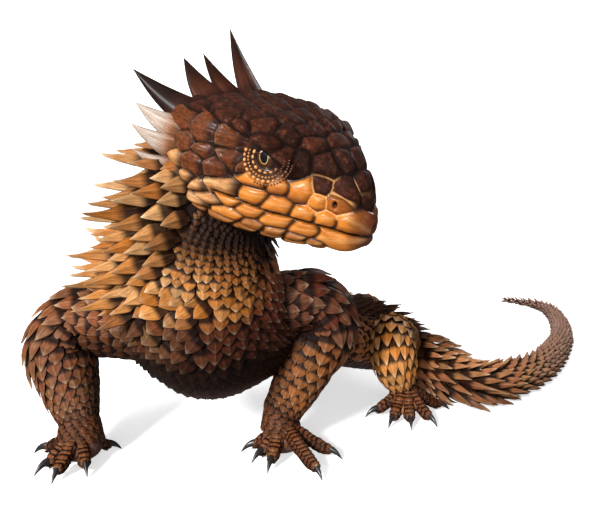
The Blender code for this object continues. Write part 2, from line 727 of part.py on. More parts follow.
def plated_head():
    """Points and faces of the whole head with a raised plate on each face but
    those round the eyes. The temple plates overlap like tiles, rear edge up."""
    chance = random.Random("plates")
    skin, count = head_points()
    points = head_points(-GROOVE_DEPTH)[0]
    faces = head_ends(count)
    for quad in head_quads(count):
        corners = [skin[index] for index in quad]
        middle = sum(corners, Vector()) / 4
        out = Vector((0.0, middle.y, middle.z)).normalized()
        raised = chance.uniform(-PLATE_VARIETY, PLATE_VARIETY)
        eye = Vector((EYE_PLACE[0], math.copysign(EYE_PLACE[1], middle.y), EYE_PLACE[2]))
        if (middle - eye).length < PLATES_FROM_EYE:
            faces.append(quad)
            continue
        first = len(points)
        for number, corner in enumerate(corners):
            rear_edge = number < 2 and middle.x < TEMPLE_END and middle.z > 0
            inward = (middle - corner) * min(GROOVE_WIDTH / (middle - corner).length, SMALL_PLATE)
            points.append(corner + inward + out * (raised + (TEMPLE_LIFT if rear_edge else 0.0)))
        faces.append(tuple(range(first, first + 4)))
        for number in range(4):
            following = (number + 1) % 4
            faces.append((quad[number], quad[following], first + following, first + number))
    return in_head(points), faces


def mouth_cut():
    """A thin blade along the mouth line and down behind the jaw."""
    above = [(x, z + GAP / 2) for x, z in MOUTH[:-1]]
    below = [(x - BLADE_SETBACK, z - GAP / 2) for x, z in MOUTH[:-1]]
    last_x, last_z = MOUTH[-1]
    above.append((last_x - GAP, last_z))
    below.append((last_x, last_z))
    outline = above + below[::-1]
    points = [(x, side, z) for side in (-BLADE_REACH, BLADE_REACH) for x, z in outline]
    count = len(outline)
    faces = [tuple(range(count)), tuple(range(count, 2 * count))]
    faces += [(i, (i + 1) % count, (i + 1) % count + count, i + count) for i in range(count)]
    return solid("mouth_blade", in_head(points), faces)


def ball(name, pose, place, reaches, segments, rings, slot=None):
    """A round or oval ball at a place in a frame."""
    bpy.ops.mesh.primitive_uv_sphere_add(segments=segments, ring_count=rings, radius=1.0)
    made = bpy.context.object
    made.name = name
    own = pose @ Matrix.Translation(Vector(place)) @ Matrix.Diagonal((*reaches, 1.0))
    made.data.transform(Matrix.Diagonal((MM, MM, MM, 1.0)) @ own)
    for owner in made.users_collection:
        owner.objects.unlink(made)
    ANIMAL.objects.link(made)
    if slot:
        made.data.materials.append(material(slot))
    return made


def head_spine(root, tip, reach, spare=0.0):
    """One spine of the head's rear edge, or with spare the room that it takes."""
    root, tip = in_head((root, tip))
    middle = root.lerp(tip, SPINE_MIDDLE)
    tip = tip + (tip - root).normalized() * spare
    reaches = (reach + spare, reach * HORN_TAPER + spare)
    return solid("spine", *horn([root, middle, tip], reaches, SPINE_SIDES, SPINE_FLATNESS))


def make_head():
    """The head and the jaw, cut from one form, and the two eyes."""
    head = solid("head", *plated_head(), "head_scales")
    pose = head_pose()
    extras = [head_spine(*spine) for spine in HEAD_SPINES]
    cuts = []
    for side, word in ((-1.0, "right"), (1.0, "left")):
        eye = (EYE_PLACE[0], EYE_PLACE[1] * side, EYE_PLACE[2])
        brow = (BROW_PLACE[0], BROW_PLACE[1] * side, BROW_PLACE[2])
        nostril = (NOSTRIL_PLACE[0], NOSTRIL_PLACE[1] * side, NOSTRIL_PLACE[2])
        opening = (eye[0] + OPENING_SHIFT[0], eye[1] + side * (EYE_REACH + OPENING_SHIFT[1]),
                   eye[2] + OPENING_SHIFT[2])
        extras.append(ball("lids", pose, eye, [EYE_REACH + LID_THICKNESS] * 3, 16, 10))
        extras.append(ball("brow", pose, brow, BROW_REACH, 14, 8))
        cuts.append(ball("socket", pose, eye, [EYE_REACH + GAP] * 3, 16, 10))
        cuts.append(ball("opening", pose, opening, OPENING_REACH, 12, 8))
        cuts.append(ball("nostril", pose, nostril, NOSTRIL_REACH, 8, 6))
        ball("eye_" + word, pose, eye, [EYE_REACH] * 3, 16, 10, "eye")
    combine(head, "UNION", extras)
    combine(head, "DIFFERENCE", cuts, "EXACT")
    combine(head, "DIFFERENCE", [mouth_cut()], "EXACT")
    jaw = head.copy()
    jaw.data = head.data.copy()
    jaw.name = "jaw"
    ANIMAL.objects.link(jaw)
    jaw.data.materials.clear()
    jaw.data.materials.append(material("jaw_scales"))
    keep_part(head, 0)
    keep_part(jaw, 1)


def make_body():
    """The lengths of the body, the neck cut back from the head and its spines."""
    for name, first, last, rings, columns in BODY_LENGTHS:
        slot = "tail_scutes" if name.startswith("tail") else "back_scutes"
        slot = "neck_scales" if name == "neck" else slot
        node = solid(name, *body_node(name, first, last, rings, columns), slot)
        if name == "neck":
            rooms = [solid("head_room", *head_form(GAP))]
            rooms += [head_spine(*spine, GAP) for spine in HEAD_SPINES]
            combine(node, "DIFFERENCE", rooms, "EXACT")
            keep_part(node)


def body_room():
    """The trunk with a gap round it, which the legs are cut back to."""
    rooms = []
    for name, first, last, rings, columns in BODY_LENGTHS:
        if name in NODES_BESIDE_LEGS:
            sections = body_sections(first, last, rings)
            sections[0] = sections[0].moved(-GAP)
            sections[-1] = sections[-1].moved(GAP)
            rooms.append(solid("room", *tube(sections, columns, GAP)))
    return rooms


def make_legs():
    """Each leg's two lengths, cut back from the trunk, and its foot."""
    for leg in LEGS.values():
        upper, lower, foot = leg["nodes"]
        scale_at = leg_scale_at(leg)
        thigh_sections, shin_sections = leg_sections(leg, True), leg_sections(leg, False)
        thigh = solid(upper, *scaled_tube(thigh_sections, LEG_COLUMNS, scale_at), "leg_scales")
        shin = solid(lower, *scaled_tube(shin_sections, LEG_COLUMNS, scale_at), "leg_scales")
        for length in (thigh, shin):
            combine(length, "DIFFERENCE", body_room())
            keep_part(length)
        make_foot(foot, shin_sections[-1], leg)


def make_foot(name, wrist, leg):
    """The palm or sole with its five toes, flat on the floor, and the claws."""
    palm = Vector(leg["palm"])
    start = wrist.moved(GAP)
    sections = [start]
    for share, widen in PALM_STEPS:
        centre = start.centre.lerp(palm, share)
        sections.append(Section(centre, start.left, start.dorsal, start.half_width * widen,
                                start.above * widen, start.below * widen))
    foot = solid(name, *tube(sections, LEG_COLUMNS), "leg_scales")
    extras = []
    for number, (x, y) in enumerate(leg["toes"], 1):
        tip = Vector((x, y, 0.0))
        flat = Vector((tip.x - palm.x, tip.y - palm.y, 0.0))
        way, length = flat.normalized(), flat.length - CLAW_LENGTH
        left = Vector((0.0, 0.0, 1.0)).cross(way)
        sections = [
            Section(Vector((palm.x, palm.y, rise)) + way * length * share, -left,
                    Vector((0.0, 0.0, 1.0)), reach, reach, reach)
            for share, rise, reach in zip(TOE_STEPS, TOE_RISE, TOE_REACH)
        ]
        extras.append(solid("toe", *tube(sections, TOE_SIDES)))
        base = sections[-1].centre + way * GAP
        centres = [base, base + way * CLAW_LENGTH * CLAW_MIDDLE + Vector((0.0, 0.0, CLAW_ARCH)),
                   base + way * (CLAW_LENGTH - GAP) + Vector((0.0, 0.0, CLAW_DROP))]
        claw = horn(centres, (CLAW_REACH, CLAW_REACH * HORN_TAPER), CLAW_SIDES)
        claw_name = name.replace("foot", "hind").replace("hand", "fore") + f"_claw_{number}"
        solid(claw_name, *claw, "claw_horn")
    spread = leg["reach"][2] * BALL_SPREAD
    extras.append(ball("sole", Matrix.Identity(4), palm, (spread, spread, BALL_RISE), 14, 8))
    combine(foot, "UNION", extras)
    combine(foot, "DIFFERENCE", [floor_slab()], "EXACT")
    keep_part(foot)


def floor_slab():
    """A slab under the floor, which cuts the feet flat."""
    bpy.ops.mesh.primitive_cube_add(size=MM)
    slab = bpy.context.object
    slab.data.transform(Matrix.Diagonal((*SLAB_SIZE, 1.0)))
    slab.data.transform(Matrix.Translation(Vector(SLAB_PLACE) * MM))
    return slab


def stand_over_origin():
    """Parents every node to an empty that puts the middle of the box over the
    origin."""
    corners = [node.matrix_world @ point.co for node in ANIMAL.objects for point in node.data.vertices]
    middle = [(min(corner[axis] for corner in corners) + max(corner[axis] for corner in corners)) / 2
              for axis in (0, 1)]
    root = bpy.data.objects.new("sungazer", None)
    bpy.context.scene.collection.objects.link(root)
    root.location = (-middle[0], -middle[1], 0.0)
    for node in ANIMAL.objects:
        node.parent = root


for old in list(bpy.data.objects):
    bpy.data.objects.remove(old)
ANIMAL = bpy.data.collections.new("sungazer_lizard")
TRUNK_SECTIONS = [body_section(quarter / 4) for quarter in range(8, 54)]
bpy.context.scene.collection.children.link(ANIMAL)
make_head()
make_body()
make_legs()
stand_over_origin()
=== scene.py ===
# A sungazer lizard as a life-size museum model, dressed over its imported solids. Sizes
# and places are in millimetres in the animal's own pose, with the viewer at the
# origin, and become metres in the part's frame when a piece is made.
import math

import bpy
import numpy as np
from mathutils import Matrix, Vector
from mathutils.bvhtree import BVHTree


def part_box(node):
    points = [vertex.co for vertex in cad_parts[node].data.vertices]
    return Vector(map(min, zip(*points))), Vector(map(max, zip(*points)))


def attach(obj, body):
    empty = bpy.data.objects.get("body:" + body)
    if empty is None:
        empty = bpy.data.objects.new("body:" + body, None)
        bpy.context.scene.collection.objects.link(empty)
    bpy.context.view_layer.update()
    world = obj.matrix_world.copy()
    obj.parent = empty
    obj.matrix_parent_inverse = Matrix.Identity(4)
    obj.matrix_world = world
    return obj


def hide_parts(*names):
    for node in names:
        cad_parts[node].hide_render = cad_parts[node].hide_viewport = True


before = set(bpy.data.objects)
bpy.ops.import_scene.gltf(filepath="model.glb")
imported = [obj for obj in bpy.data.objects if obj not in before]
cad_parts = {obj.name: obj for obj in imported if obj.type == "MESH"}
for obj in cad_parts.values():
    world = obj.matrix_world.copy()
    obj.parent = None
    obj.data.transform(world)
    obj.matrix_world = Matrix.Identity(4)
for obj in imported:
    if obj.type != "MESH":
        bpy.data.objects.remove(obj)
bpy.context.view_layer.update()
MM = 0.001
ROUND = 2.0 * math.pi

# The head is carried high, turned to the animal's left, nodding and tilted a little.
# The two glass eyes sit at known places in it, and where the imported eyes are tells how
# far the part's frame is from the frame of the pose.
HEAD_PLACE = (-18.8, 188.0, 87.0)
HEAD_TURN, HEAD_NOD, HEAD_TILT = 40.0, 15.7, 6.1
RIGHT_EYE, EYE_REACH = np.array((25.3, -10.3, 4.9)), 4.2

head_turns = [Matrix.Rotation(math.radians(angle), 3, axis)
              for angle, axis in ((-HEAD_TURN, "Z"), (HEAD_NOD, "Y"), (HEAD_TILT, "X"))]
HEAD_AXES = np.array(head_turns[0] @ head_turns[1] @ head_turns[2])


def in_head(points):
    """Points given forward, left and up from the middle of the head's rear edge."""
    return np.asarray(points, float) @ HEAD_AXES.T + np.array(HEAD_PLACE)


packed_eyes = np.mean([np.mean(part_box(eye), 0) for eye in ("eye_left", "eye_right")], 0) / MM
POSE_TO_PART = packed_eyes - in_head([RIGHT_EYE, RIGHT_EYE * (1, -1, 1)]).mean(0)


def to_part(points):
    return (np.asarray(points, float) + POSE_TO_PART) * MM


def placed(name, data):
    """A new object of the scene, made of its data."""
    made = bpy.data.objects.new(name, data)
    bpy.context.scene.collection.objects.link(made)
    return made


# The camera looks at the animal from the front, a hand's breadth over the table and
# turned down a little, as the drawing shows it.
CAMERA_PLACE, CAMERA_DIP = (0.0, 0.0, 90.0), 10.0
FOCAL_PIXELS, PICTURE_WIDTH, FILM_WIDTH = 736.0, 600.0, 36.0
NEAREST_SEEN = 0.01
camera_data = bpy.data.cameras.new("camera")
camera_data.sensor_width = FILM_WIDTH
camera_data.lens = FILM_WIDTH * FOCAL_PIXELS / PICTURE_WIDTH
camera_data.clip_start = NEAREST_SEEN
camera = placed("camera", camera_data)
camera.location = to_part(CAMERA_PLACE)
camera.rotation_euler = (math.radians(90.0 - CAMERA_DIP), 0.0, 0.0)
bpy.context.scene.camera = camera

# The stand is a plain white sweep, a table that curves up into a wall, in a white
# room. A broad sun shines from high on the left, in front, with a weak lamp low in
# front, one behind, and a small one beside the head that glints in the eye.
SWEEP_REACH, SWEEP_BACK, SWEEP_BEND, SWEEP_HEIGHT = 2500.0, 1100.0, 500.0, 2500.0
SWEEP_GLOW = 0.62
KEY_PLACE, KEY_POWER, KEY_SPREAD = (-360.0, -640.0, 380.0), 5.0, 10.0
LAMPS = (("fill", (-40.0, -520.0, 120.0), 320.0, 2.3), ("rim", (260.0, 620.0, 330.0), 200.0, 0.9),
         ("side", (-260.0, 82.0, 219.0), 60.0, 0.3))
ROOM_LIGHT = 0.2


class Socket:
    """One output of a material's nodes. Sums on it add Math nodes."""

    def __init__(self, finish, output):
        self.finish = finish
        self.output = output

    def maths(self, operation, first, second):
        return self.finish.node("ShaderNodeMath", {"operation": operation}, {0: first, 1: second})

    def __add__(self, other):
        return self.maths("ADD", self, other)

    def __rsub__(self, other):
        return self.maths("SUBTRACT", other, self)

    def __mul__(self, other):
        return self.maths("MULTIPLY", self, other)

    __radd__ = __add__
    __rmul__ = __mul__


class Finish:
    """One material while its nodes are put together. Its ground is the colour so far."""

    def __init__(self, name):
        self.made = bpy.data.materials.new(name)
        self.made.use_nodes = True
        self.tree = self.made.node_tree
        self.shader = self.tree.nodes["Principled BSDF"]

    def node(self, kind, settings, values, output=0):
        made = self.tree.nodes.new(kind)
        for name, value in settings.items():
            setattr(made, name, value)
        for name, value in values.items():
            self.feed(made.inputs[name], value)
        return Socket(self, made.outputs[output])

    def feed(self, entry, value):
        if isinstance(value, Socket):
            self.tree.links.new(value.output, entry)
        else:
            entry.default_value = value

    def set(self, **values):
        for name, value in values.items():
            self.feed(self.shader.inputs[name.replace("_", " ")], value)

    def mark(self, name):
        """A value that a piece carries on its points."""
        return self.node("ShaderNodeAttribute", {"attribute_name": name}, {}, 2)

    def smooth(self, value, low, high):
        return self.node("ShaderNodeMapRange", {"interpolation_type": "SMOOTHSTEP"},
                         {0: value, 1: low, 2: high})

    def mix(self, share, first, second):
        """One colour over another by a share."""
        return self.node("ShaderNodeMix", {"data_type": "RGBA"}, {0: share, 6: first, 7: second}, 2)

    def over(self, share, paint):
        """Lays a colour over the ground by a share."""
        self.ground = self.mix(share, self.ground, paint)

    def place(self):
        return self.node("ShaderNodeTexCoord", {}, {}, 3)

    def noise(self, scale, detail=4.0, rough=0.55, where=None):
        return self.node("ShaderNodeTexNoise", {}, {"Vector": where or self.place(), "Scale": scale,
                                                   "Detail": detail, "Roughness": rough})

    def fibres(self, scale, detail, rough, x, y, z):
        """Noise drawn out along one way of a scale."""
        grown = self.node("ShaderNodeCombineXYZ", {}, {"X": x, "Y": y, "Z": z})
        return self.noise(scale, detail, rough, grown)

    def bump(self, height, strength, distance):
        return self.node("ShaderNodeBump", {}, {"Height": height, "Strength": strength,
                                                "Distance": distance})


def colour(red, green, blue):
    return (red, green, blue, 1.0)


WHITE = colour(1.0, 1.0, 1.0)
paper = Finish("sweep_paper")
grain = paper.noise(60.0)
paper.set(Base_Color=paper.mix(grain, colour(0.90, 0.90, 0.90), colour(0.93, 0.93, 0.928)),
          Roughness=0.6 + 0.1 * grain, Emission_Color=WHITE, Emission_Strength=SWEEP_GLOW,
          Normal=paper.bump(grain, 0.02, 0.0005))
profile = [(-SWEEP_REACH, 0.0)]
for bend in np.linspace(0.0, math.pi / 2, 24):
    profile.append((SWEEP_BACK + SWEEP_BEND * math.sin(bend), SWEEP_BEND * (1.0 - math.cos(bend))))
profile.append((SWEEP_BACK + SWEEP_BEND, SWEEP_HEIGHT))
sweep_mesh = bpy.data.meshes.new("sweep")
sweep_mesh.from_pydata([(side * SWEEP_REACH * MM, back * MM, high * MM) for back, high in profile
                        for side in (-1, 1)], [],
                       [(i, i + 1, i + 3, i + 2) for i in range(0, 2 * len(profile) - 2, 2)])
sweep_mesh.shade_smooth()
sweep_mesh.materials.append(paper.made)
sweep = placed("sweep", sweep_mesh)
sweep.visible_diffuse = False
sweep.visible_glossy = False

LIT_PLACE = in_head([(0.0, 0.0, -40.0)])[0]


def lamp(name, kind, place, power):
    """A lamp at a place, turned to the root of the animal's neck."""
    data = bpy.data.lights.new(name, kind)
    data.energy = power
    made = placed(name, data)
    made.location = to_part(place)
    made.rotation_euler = Vector(LIT_PLACE - np.array(place)).to_track_quat("-Z", "Y").to_euler()
    return data


lamp("key", "SUN", LIT_PLACE + np.array(KEY_PLACE), KEY_POWER).angle = math.radians(KEY_SPREAD)
for name, place, size, power in LAMPS:
    lamp(name, "AREA", place, power).size = size * MM
room = bpy.data.worlds.new("room")
room.use_nodes = True
room_inputs = room.node_tree.nodes["Background"].inputs
room_inputs["Color"].default_value = WHITE
room_inputs["Strength"].default_value = ROOM_LIGHT
bpy.context.scene.world = room
bpy.context.scene.view_settings.view_transform = "Standard"

# The hide is one skin over neck, trunk, tail, legs and feet, and lies just under the
# roots of the scales. It is cast in one piece over lofted forms, which follow the
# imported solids, and the forms flow into each other where the legs leave the trunk.
# Trunk and tail are given by their middle, half width, and reach to back and belly.
TRUNK = (
    (-13.5, 185.5, 87.0, 13.0, 11.0, 12.0), (-19.5, 186.0, 78.5, 15.0, 14.0, 14.0),
    (-24.0, 186.0, 69.5, 16.2, 15.0, 16.0), (-26.0, 188.0, 58.5, 18.0, 16.0, 19.5),
    (-26.0, 193.5, 47.0, 19.9, 16.2, 24.0), (-24.5, 203.0, 38.5, 22.4, 15.8, 24.0),
    (-18.5, 216.0, 34.5, 24.5, 14.0, 20.0), (-9.0, 230.0, 30.5, 26.5, 12.0, 16.0),
    (3.0, 240.0, 26.5, 26.0, 10.6, 14.0), (16.0, 245.5, 22.0, 22.0, 9.6, 12.5),
    (28.0, 247.0, 18.5, 17.0, 9.3, 11.0), (37.0, 244.5, 14.5, 11.3, 7.7, 9.0),
    (44.0, 240.5, 10.8, 8.0, 6.3, 7.6), (50.1, 236.0, 8.4, 6.5, 5.4, 6.6),
    (55.7, 234.0, 7.0, 5.9, 4.9, 6.4), (61.8, 234.8, 6.2, 5.6, 4.7, 6.2),
    (68.4, 238.2, 5.6, 5.3, 4.5, 5.6), (76.3, 244.4, 5.1, 5.0, 4.3, 5.1),
    (85.4, 254.3, 4.6, 4.6, 4.0, 4.6), (96.6, 271.4, 4.1, 4.0, 3.5, 4.1),
    (108.4, 295.2, 3.5, 3.3, 3.0, 3.5), (117.1, 322.6, 2.9, 2.6, 2.4, 2.9),
    (121.1, 349.7, 2.3, 1.9, 1.8, 2.3), (117.1, 365.1, 1.7, 1.3, 1.2, 1.7),
    (106.5, 376.4, 1.1, 0.5, 0.5, 0.9),
)
# The way out of the back at the first places. It points straight up at all others.
TRUNK_BACKS = ((-0.30, 0.90, 0.35), (-0.22, 0.92, 0.34), (-0.12, 0.92, 0.38), (-0.04, 0.88, 0.48),
               (0.0, 0.75, 0.66), (0.0, 0.42, 0.91), (0.0, 0.10, 0.99))
UP = (0.0, 0.0, 1.0)
LEGS = {
    "right_fore": {
        "root": (-36.0, 205.0, 34.4), "bend": (-70.8, 206.5, 35.2),
        "end": (-61.0, 192.5, 10.5), "bend_radius": 8.5, "reach": (10.6, 9.6, 5.6),
        "palm": (-60.6, 190.8, 3.7), "nodes": ("upper_arm_right", "forearm_right", "hand_right"),
        "toes": ((-74.5, 193.5), (-69.6, 179.7), (-63.5, 175.0), (-55.4, 178.9), (-50.6, 196.4)),
    },
    "left_fore": {
        "root": (-14.0, 198.0, 40.5), "bend": (12.5, 203.5, 43.4),
        "end": (-5.0, 197.5, 11.3), "bend_radius": 7.0, "reach": (8.7, 8.5, 5.6),
        "palm": (-5.0, 196.0, 3.7), "nodes": ("upper_arm_left", "forearm_left", "hand_left"),
        "toes": ((-16.6, 194.3), (-13.2, 187.0), (-8.6, 181.0), (5.8, 177.0), (11.6, 189.6)),
    },
    "left_hind": {
        "root": (34.6, 243.6, 16.2), "bend": (25.0, 216.0, 29.5),
        "end": (32.5, 225.0, 10.0), "bend_radius": 6.5, "reach": (7.8, 7.6, 4.4),
        "palm": (33.8, 224.0, 3.6), "nodes": ("thigh_left", "shin_left", "foot_left"),
        "toes": ((20.5, 219.4), (26.8, 210.7), (33.6, 209.0), (41.8, 211.6), (48.3, 225.8)),
    },
    "right_hind": {
        "root": (33.5, 251.0, 15.0), "bend": (22.0, 278.5, 20.8),
        "end": (17.5, 276.0, 10.4), "bend_radius": 6.5, "reach": (7.8, 7.6, 4.4),
        "palm": (16.0, 278.5, 3.6), "nodes": ("thigh_right", "shin_right", "foot_right"),
        "toes": ((9.0, 267.5), (1.5, 276.0), (1.9, 284.0), (7.5, 292.0), (22.0, 292.5)),
    },
}
LEG_FLATNESS, LEG_TAPER, FOLD_CORE = 0.94, 1.7, 1.0
TOE_STEPS, TOE_RISE = (0.0, 0.4, 0.8, 1.0), (7.0, 5.6, 3.3, 2.6)
TOE_REACH, KNUCKLE = (2.5, 2.0, 1.7, 1.4), 0.06
CLAW_LENGTH = 4.2
PALM_STEPS, PALM_END = ((0.0, 1.0), (0.45, 1.12), (0.9, 1.22)), 0.9
BALL_SPREAD, BALL_RISE = 1.2, 4.1
HIDE_DEPTH, HIDE_GRAIN, HIDE_SOFTENING, HIDE_CLEAR = 0.5, 0.85, 3, 0.05


def unit(vectors):
    return vectors / np.maximum(np.linalg.norm(vectors, axis=-1, keepdims=True), 1e-9)


def lengths_along(points):
    """How far along a line each of its points lies."""
    return np.concatenate([[0.0], np.cumsum(np.linalg.norm(np.diff(points, axis=0), axis=1))])


def curved(rows, share):
    """A place between the second and third of four rows, on a smooth curve."""
    a, b, c, d = rows
    return 0.5 * (2 * b + (c - a) * share + (2 * a - 5 * b + 4 * c - d) * share ** 2
                  + (3 * b - a - 3 * c + d) * share ** 3)


def curve_through(rows, places):
    """Rows of a table read at places between them."""
    rows = np.asarray(rows, float)
    start = np.clip(np.floor(places).astype(int), 0, len(rows) - 2)
    four = [rows[np.clip(start + step, 0, len(rows) - 1)] for step in (-1, 0, 1, 2)]
    return curved(four, (places - start)[:, None])


def grid_faces(rings, columns, closed=True):
    """The four-sided faces of a grid of points, row by row."""
    ring, column = np.meshgrid(np.arange(rings - 1), np.arange(columns if closed else columns - 1),
                               indexing="ij")
    a, b = ring * columns + column, ring * columns + (column + 1) % columns
    return np.stack([a, b, b + columns, a + columns], -1).reshape(-1, 4).tolist()


def tube_faces(rings, columns):
    """Faces of a tube whose grid of points is followed by a point for each end."""
    count = rings * columns
    faces = grid_faces(rings, columns)
    for column in range(columns):
        beside = (column + 1) % columns
        faces += [[count, beside, column], [count + 1, count - columns + column, count - columns + beside]]
    return faces


class Form:
    """A long rounded form: its middle line, the directions to its left and its back,
    and how far it reaches to the side, to the back and to the belly along it."""

    def __init__(self, middles, dorsals, half_widths, aboves, belows):
        self.middles = np.asarray(middles, float)
        dorsals = np.broadcast_to(np.asarray(dorsals, float), self.middles.shape)
        self.lefts = unit(np.cross(np.gradient(self.middles, axis=0), dorsals))
        self.dorsals = unit(dorsals)
        self.reaches = np.stack([half_widths, aboves, belows], 1)
        self.run = lengths_along(self.middles)

    def read(self, rows, run):
        return np.stack([np.interp(run, self.run, row) for row in rows.T], -1)

    def at(self, run, angle, lift=0.0):
        """Points of the form's skin by their way along it and angle from the back."""
        reaches = self.read(self.reaches, run)
        side, up = np.sin(angle), np.cos(angle)
        tall = np.where(up > 0, reaches[..., 1], reaches[..., 2])
        lefts, dorsals = self.read(self.lefts, run), self.read(self.dorsals, run)
        wide = (side * reaches[..., 0])[..., None] * lefts
        high = (up * tall)[..., None] * dorsals
        out = (side / reaches[..., 0])[..., None] * lefts + (up / tall)[..., None] * dorsals
        return self.read(self.middles, run) + wide + high + unit(out) * lift

    def frames(self, run, angle):
        """Root, way along the skin, way across and way out at places on the form."""
        step, turn = 0.3, 0.02
        root = self.at(run, angle)
        along = unit(self.at(np.minimum(run + step, self.run[-1]), angle)
                     - self.at(np.maximum(run - step, 0.0), angle))
        across = self.at(run, angle + turn) - self.at(run, angle - turn)
        across = unit(across - (across * along).sum(-1, keepdims=True) * along)
        out = np.cross(along, across)
        out *= np.sign(((root - self.read(self.middles, run)) * out).sum(-1, keepdims=True))
        return root, along, across, unit(out)

    def girth(self, run):
        """Angles round the form, and the length round it up to each."""
        angles = np.linspace(0.0, ROUND, 97)
        return angles, lengths_along(self.at(np.full(97, run), angles))

    def loft(self, lift, columns, step):
        """Points and faces of the closed form, lifted or sunk."""
        rings = max(4, int(self.run[-1] / step))
        run, angle = np.meshgrid(np.linspace(0.0, self.run[-1], rings),
                                 np.arange(columns) * ROUND / columns, indexing="ij")
        caps = [list(range(columns))[::-1], list(range((rings - 1) * columns, rings * columns))]
        return self.at(run, angle, lift).reshape(-1, 3), grid_faces(rings, columns) + caps


def leg_form(leg):
    """A leg from its root round its bend to the wrist or ankle, its back outward."""
    root, bend, end = (np.array(leg[key]) for key in ("root", "bend", "end"))
    root_reach, bend_reach, end_reach = leg["reach"]
    radius = leg["bend_radius"]
    down, on = unit(bend - root), unit(end - bend)
    turn, axis = math.acos(down @ on), unit(np.cross(on, down))
    cut = radius * math.tan(turn / 2)
    upper, arc, lower = np.linalg.norm(bend - root) - cut, radius * turn, np.linalg.norm(end - bend) - cut
    run = np.linspace(0.0, upper + arc + lower, 161)
    angle = np.clip((run - upper) / radius, 0.0, turn)[:, None]
    outs = np.cross(axis, down) * np.cos(angle) + down * np.sin(angle)
    middles = bend - down * cut - np.cross(axis, down) * radius + outs * radius
    middles += down * np.minimum(run - upper, 0.0)[:, None]
    middles += on * np.maximum(run - upper - arc, 0.0)[:, None]
    middle = upper + arc / 2
    share = np.maximum(run - middle, 0.0) / (run[-1] - middle)
    reach = np.where(run < middle, root_reach + (bend_reach - root_reach) * run / middle,
                     bend_reach + (end_reach - bend_reach) * share ** LEG_TAPER)
    bent = (run > upper) & (run < upper + arc)
    inner = np.where(bent, np.minimum(reach, radius - FOLD_CORE), reach)
    return Form(middles, outs, reach * LEG_FLATNESS, reach, inner)


def palm_form(leg, wrist):
    """The palm or sole, from the wrist down to its flat ball."""
    shares = np.linspace(0.0, PALM_END, 12)
    middles = wrist.middles[-1] + (np.array(leg["palm"]) - wrist.middles[-1]) * shares[:, None]
    widen = np.interp(shares, *zip(*PALM_STEPS))
    form = Form(middles, wrist.dorsals[-1], *(wrist.reaches[-1][:, None] * widen))
    form.lefts = np.tile(wrist.lefts[-1], (12, 1))
    return form


def toe_way(leg, toe):
    """From the middle of the palm to the tip of a claw, over the floor."""
    return np.array((toe[0] - leg["palm"][0], toe[1] - leg["palm"][1], 0.0))


def toe_form(leg, toe):
    """One toe, arched from the palm to the root of its claw."""
    flat = toe_way(leg, toe)
    shares = np.linspace(0.0, 1.0, 31)
    steps = np.interp(shares, TOE_STEPS, range(4))
    rise, reach = curve_through(np.stack([TOE_RISE, TOE_REACH], 1), steps).T
    middles = np.array(leg["palm"]) + unit(flat) * (np.linalg.norm(flat) - CLAW_LENGTH) * shares[:, None]
    middles[:, 2] = rise
    reach = reach * (1.0 + KNUCKLE * np.sin(shares * 3.0 * math.pi) ** 2)
    return Form(middles, UP, reach, reach, reach)


trunk_backs = TRUNK_BACKS + (UP,) * (len(TRUNK) - len(TRUNK_BACKS))
trunk_rows = curve_through(np.hstack([TRUNK, trunk_backs]), np.linspace(0.0, len(TRUNK) - 1, 481))
trunk = Form(trunk_rows[:, :3], trunk_rows[:, 6:], *trunk_rows[:, 3:6].T)
legs = {name: leg_form(leg) for name, leg in LEGS.items()}
palms = {name: palm_form(leg, legs[name]) for name, leg in LEGS.items()}
toes = {name: [toe_form(leg, toe) for toe in leg["toes"]] for name, leg in LEGS.items()}


def mesh_of(name, points, faces):
    """A mesh object from points of the pose and their faces, shaded smooth."""
    mesh = bpy.data.meshes.new(name)
    mesh.from_pydata(to_part(points).tolist(), [], faces)
    mesh.shade_smooth()
    return placed(name, mesh)


def joined(parts):
    """Points and faces of several forms as one list of each."""
    points, faces, start = [], [], 0
    for some_points, some_faces in parts:
        points.append(some_points)
        faces += [[corner + start for corner in face] for face in some_faces]
        start += len(some_points)
    return np.concatenate(points), faces


def ball_form(columns, rings):
    """Points and faces of a closed ball of one millimetre's reach."""
    tilt, turn = np.meshgrid(np.linspace(0.0, math.pi, rings + 1)[1:-1],
                             np.arange(columns) * ROUND / columns, indexing="ij")
    shell = np.stack([np.sin(tilt) * np.cos(turn), np.sin(tilt) * np.sin(turn), np.cos(tilt)], -1)
    return np.concatenate([shell.reshape(-1, 3), [(0, 0, 1), (0, 0, -1)]]), tube_faces(rings - 1, columns)


parts = [trunk.loft(-HIDE_DEPTH, 48, 1.5)]
for name, leg in LEGS.items():
    parts += [legs[name].loft(-HIDE_DEPTH, 32, 1.0), palms[name].loft(-HIDE_DEPTH, 32, 0.6)]
    spread = leg["reach"][2] * BALL_SPREAD - HIDE_DEPTH
    ball, ball_faces = ball_form(24, 16)
    parts.append((ball * (spread, spread, BALL_RISE - HIDE_DEPTH / 2) + np.array(leg["palm"]), ball_faces))
    parts += [toe.loft(-HIDE_DEPTH / 2, 20, 0.6) for toe in toes[name]]
hide = mesh_of("hide", *joined(parts))
remesh = hide.modifiers.new("cast", "REMESH")
remesh.mode = "VOXEL"
remesh.voxel_size = HIDE_GRAIN * MM
remesh.use_smooth_shade = True
soften = hide.modifiers.new("soften", "SMOOTH")
soften.iterations = HIDE_SOFTENING
hide_mesh = bpy.data.meshes.new_from_object(hide.evaluated_get(bpy.context.evaluated_depsgraph_get()))
hide.modifiers.clear()
hide.data = hide_mesh
places = np.empty(len(hide_mesh.vertices) * 3)
hide_mesh.vertices.foreach_get("co", places)
places = places.reshape(-1, 3)
places[:, 2] = np.maximum(places[:, 2], HIDE_CLEAR * MM)
hide_mesh.vertices.foreach_set("co", places.ravel())
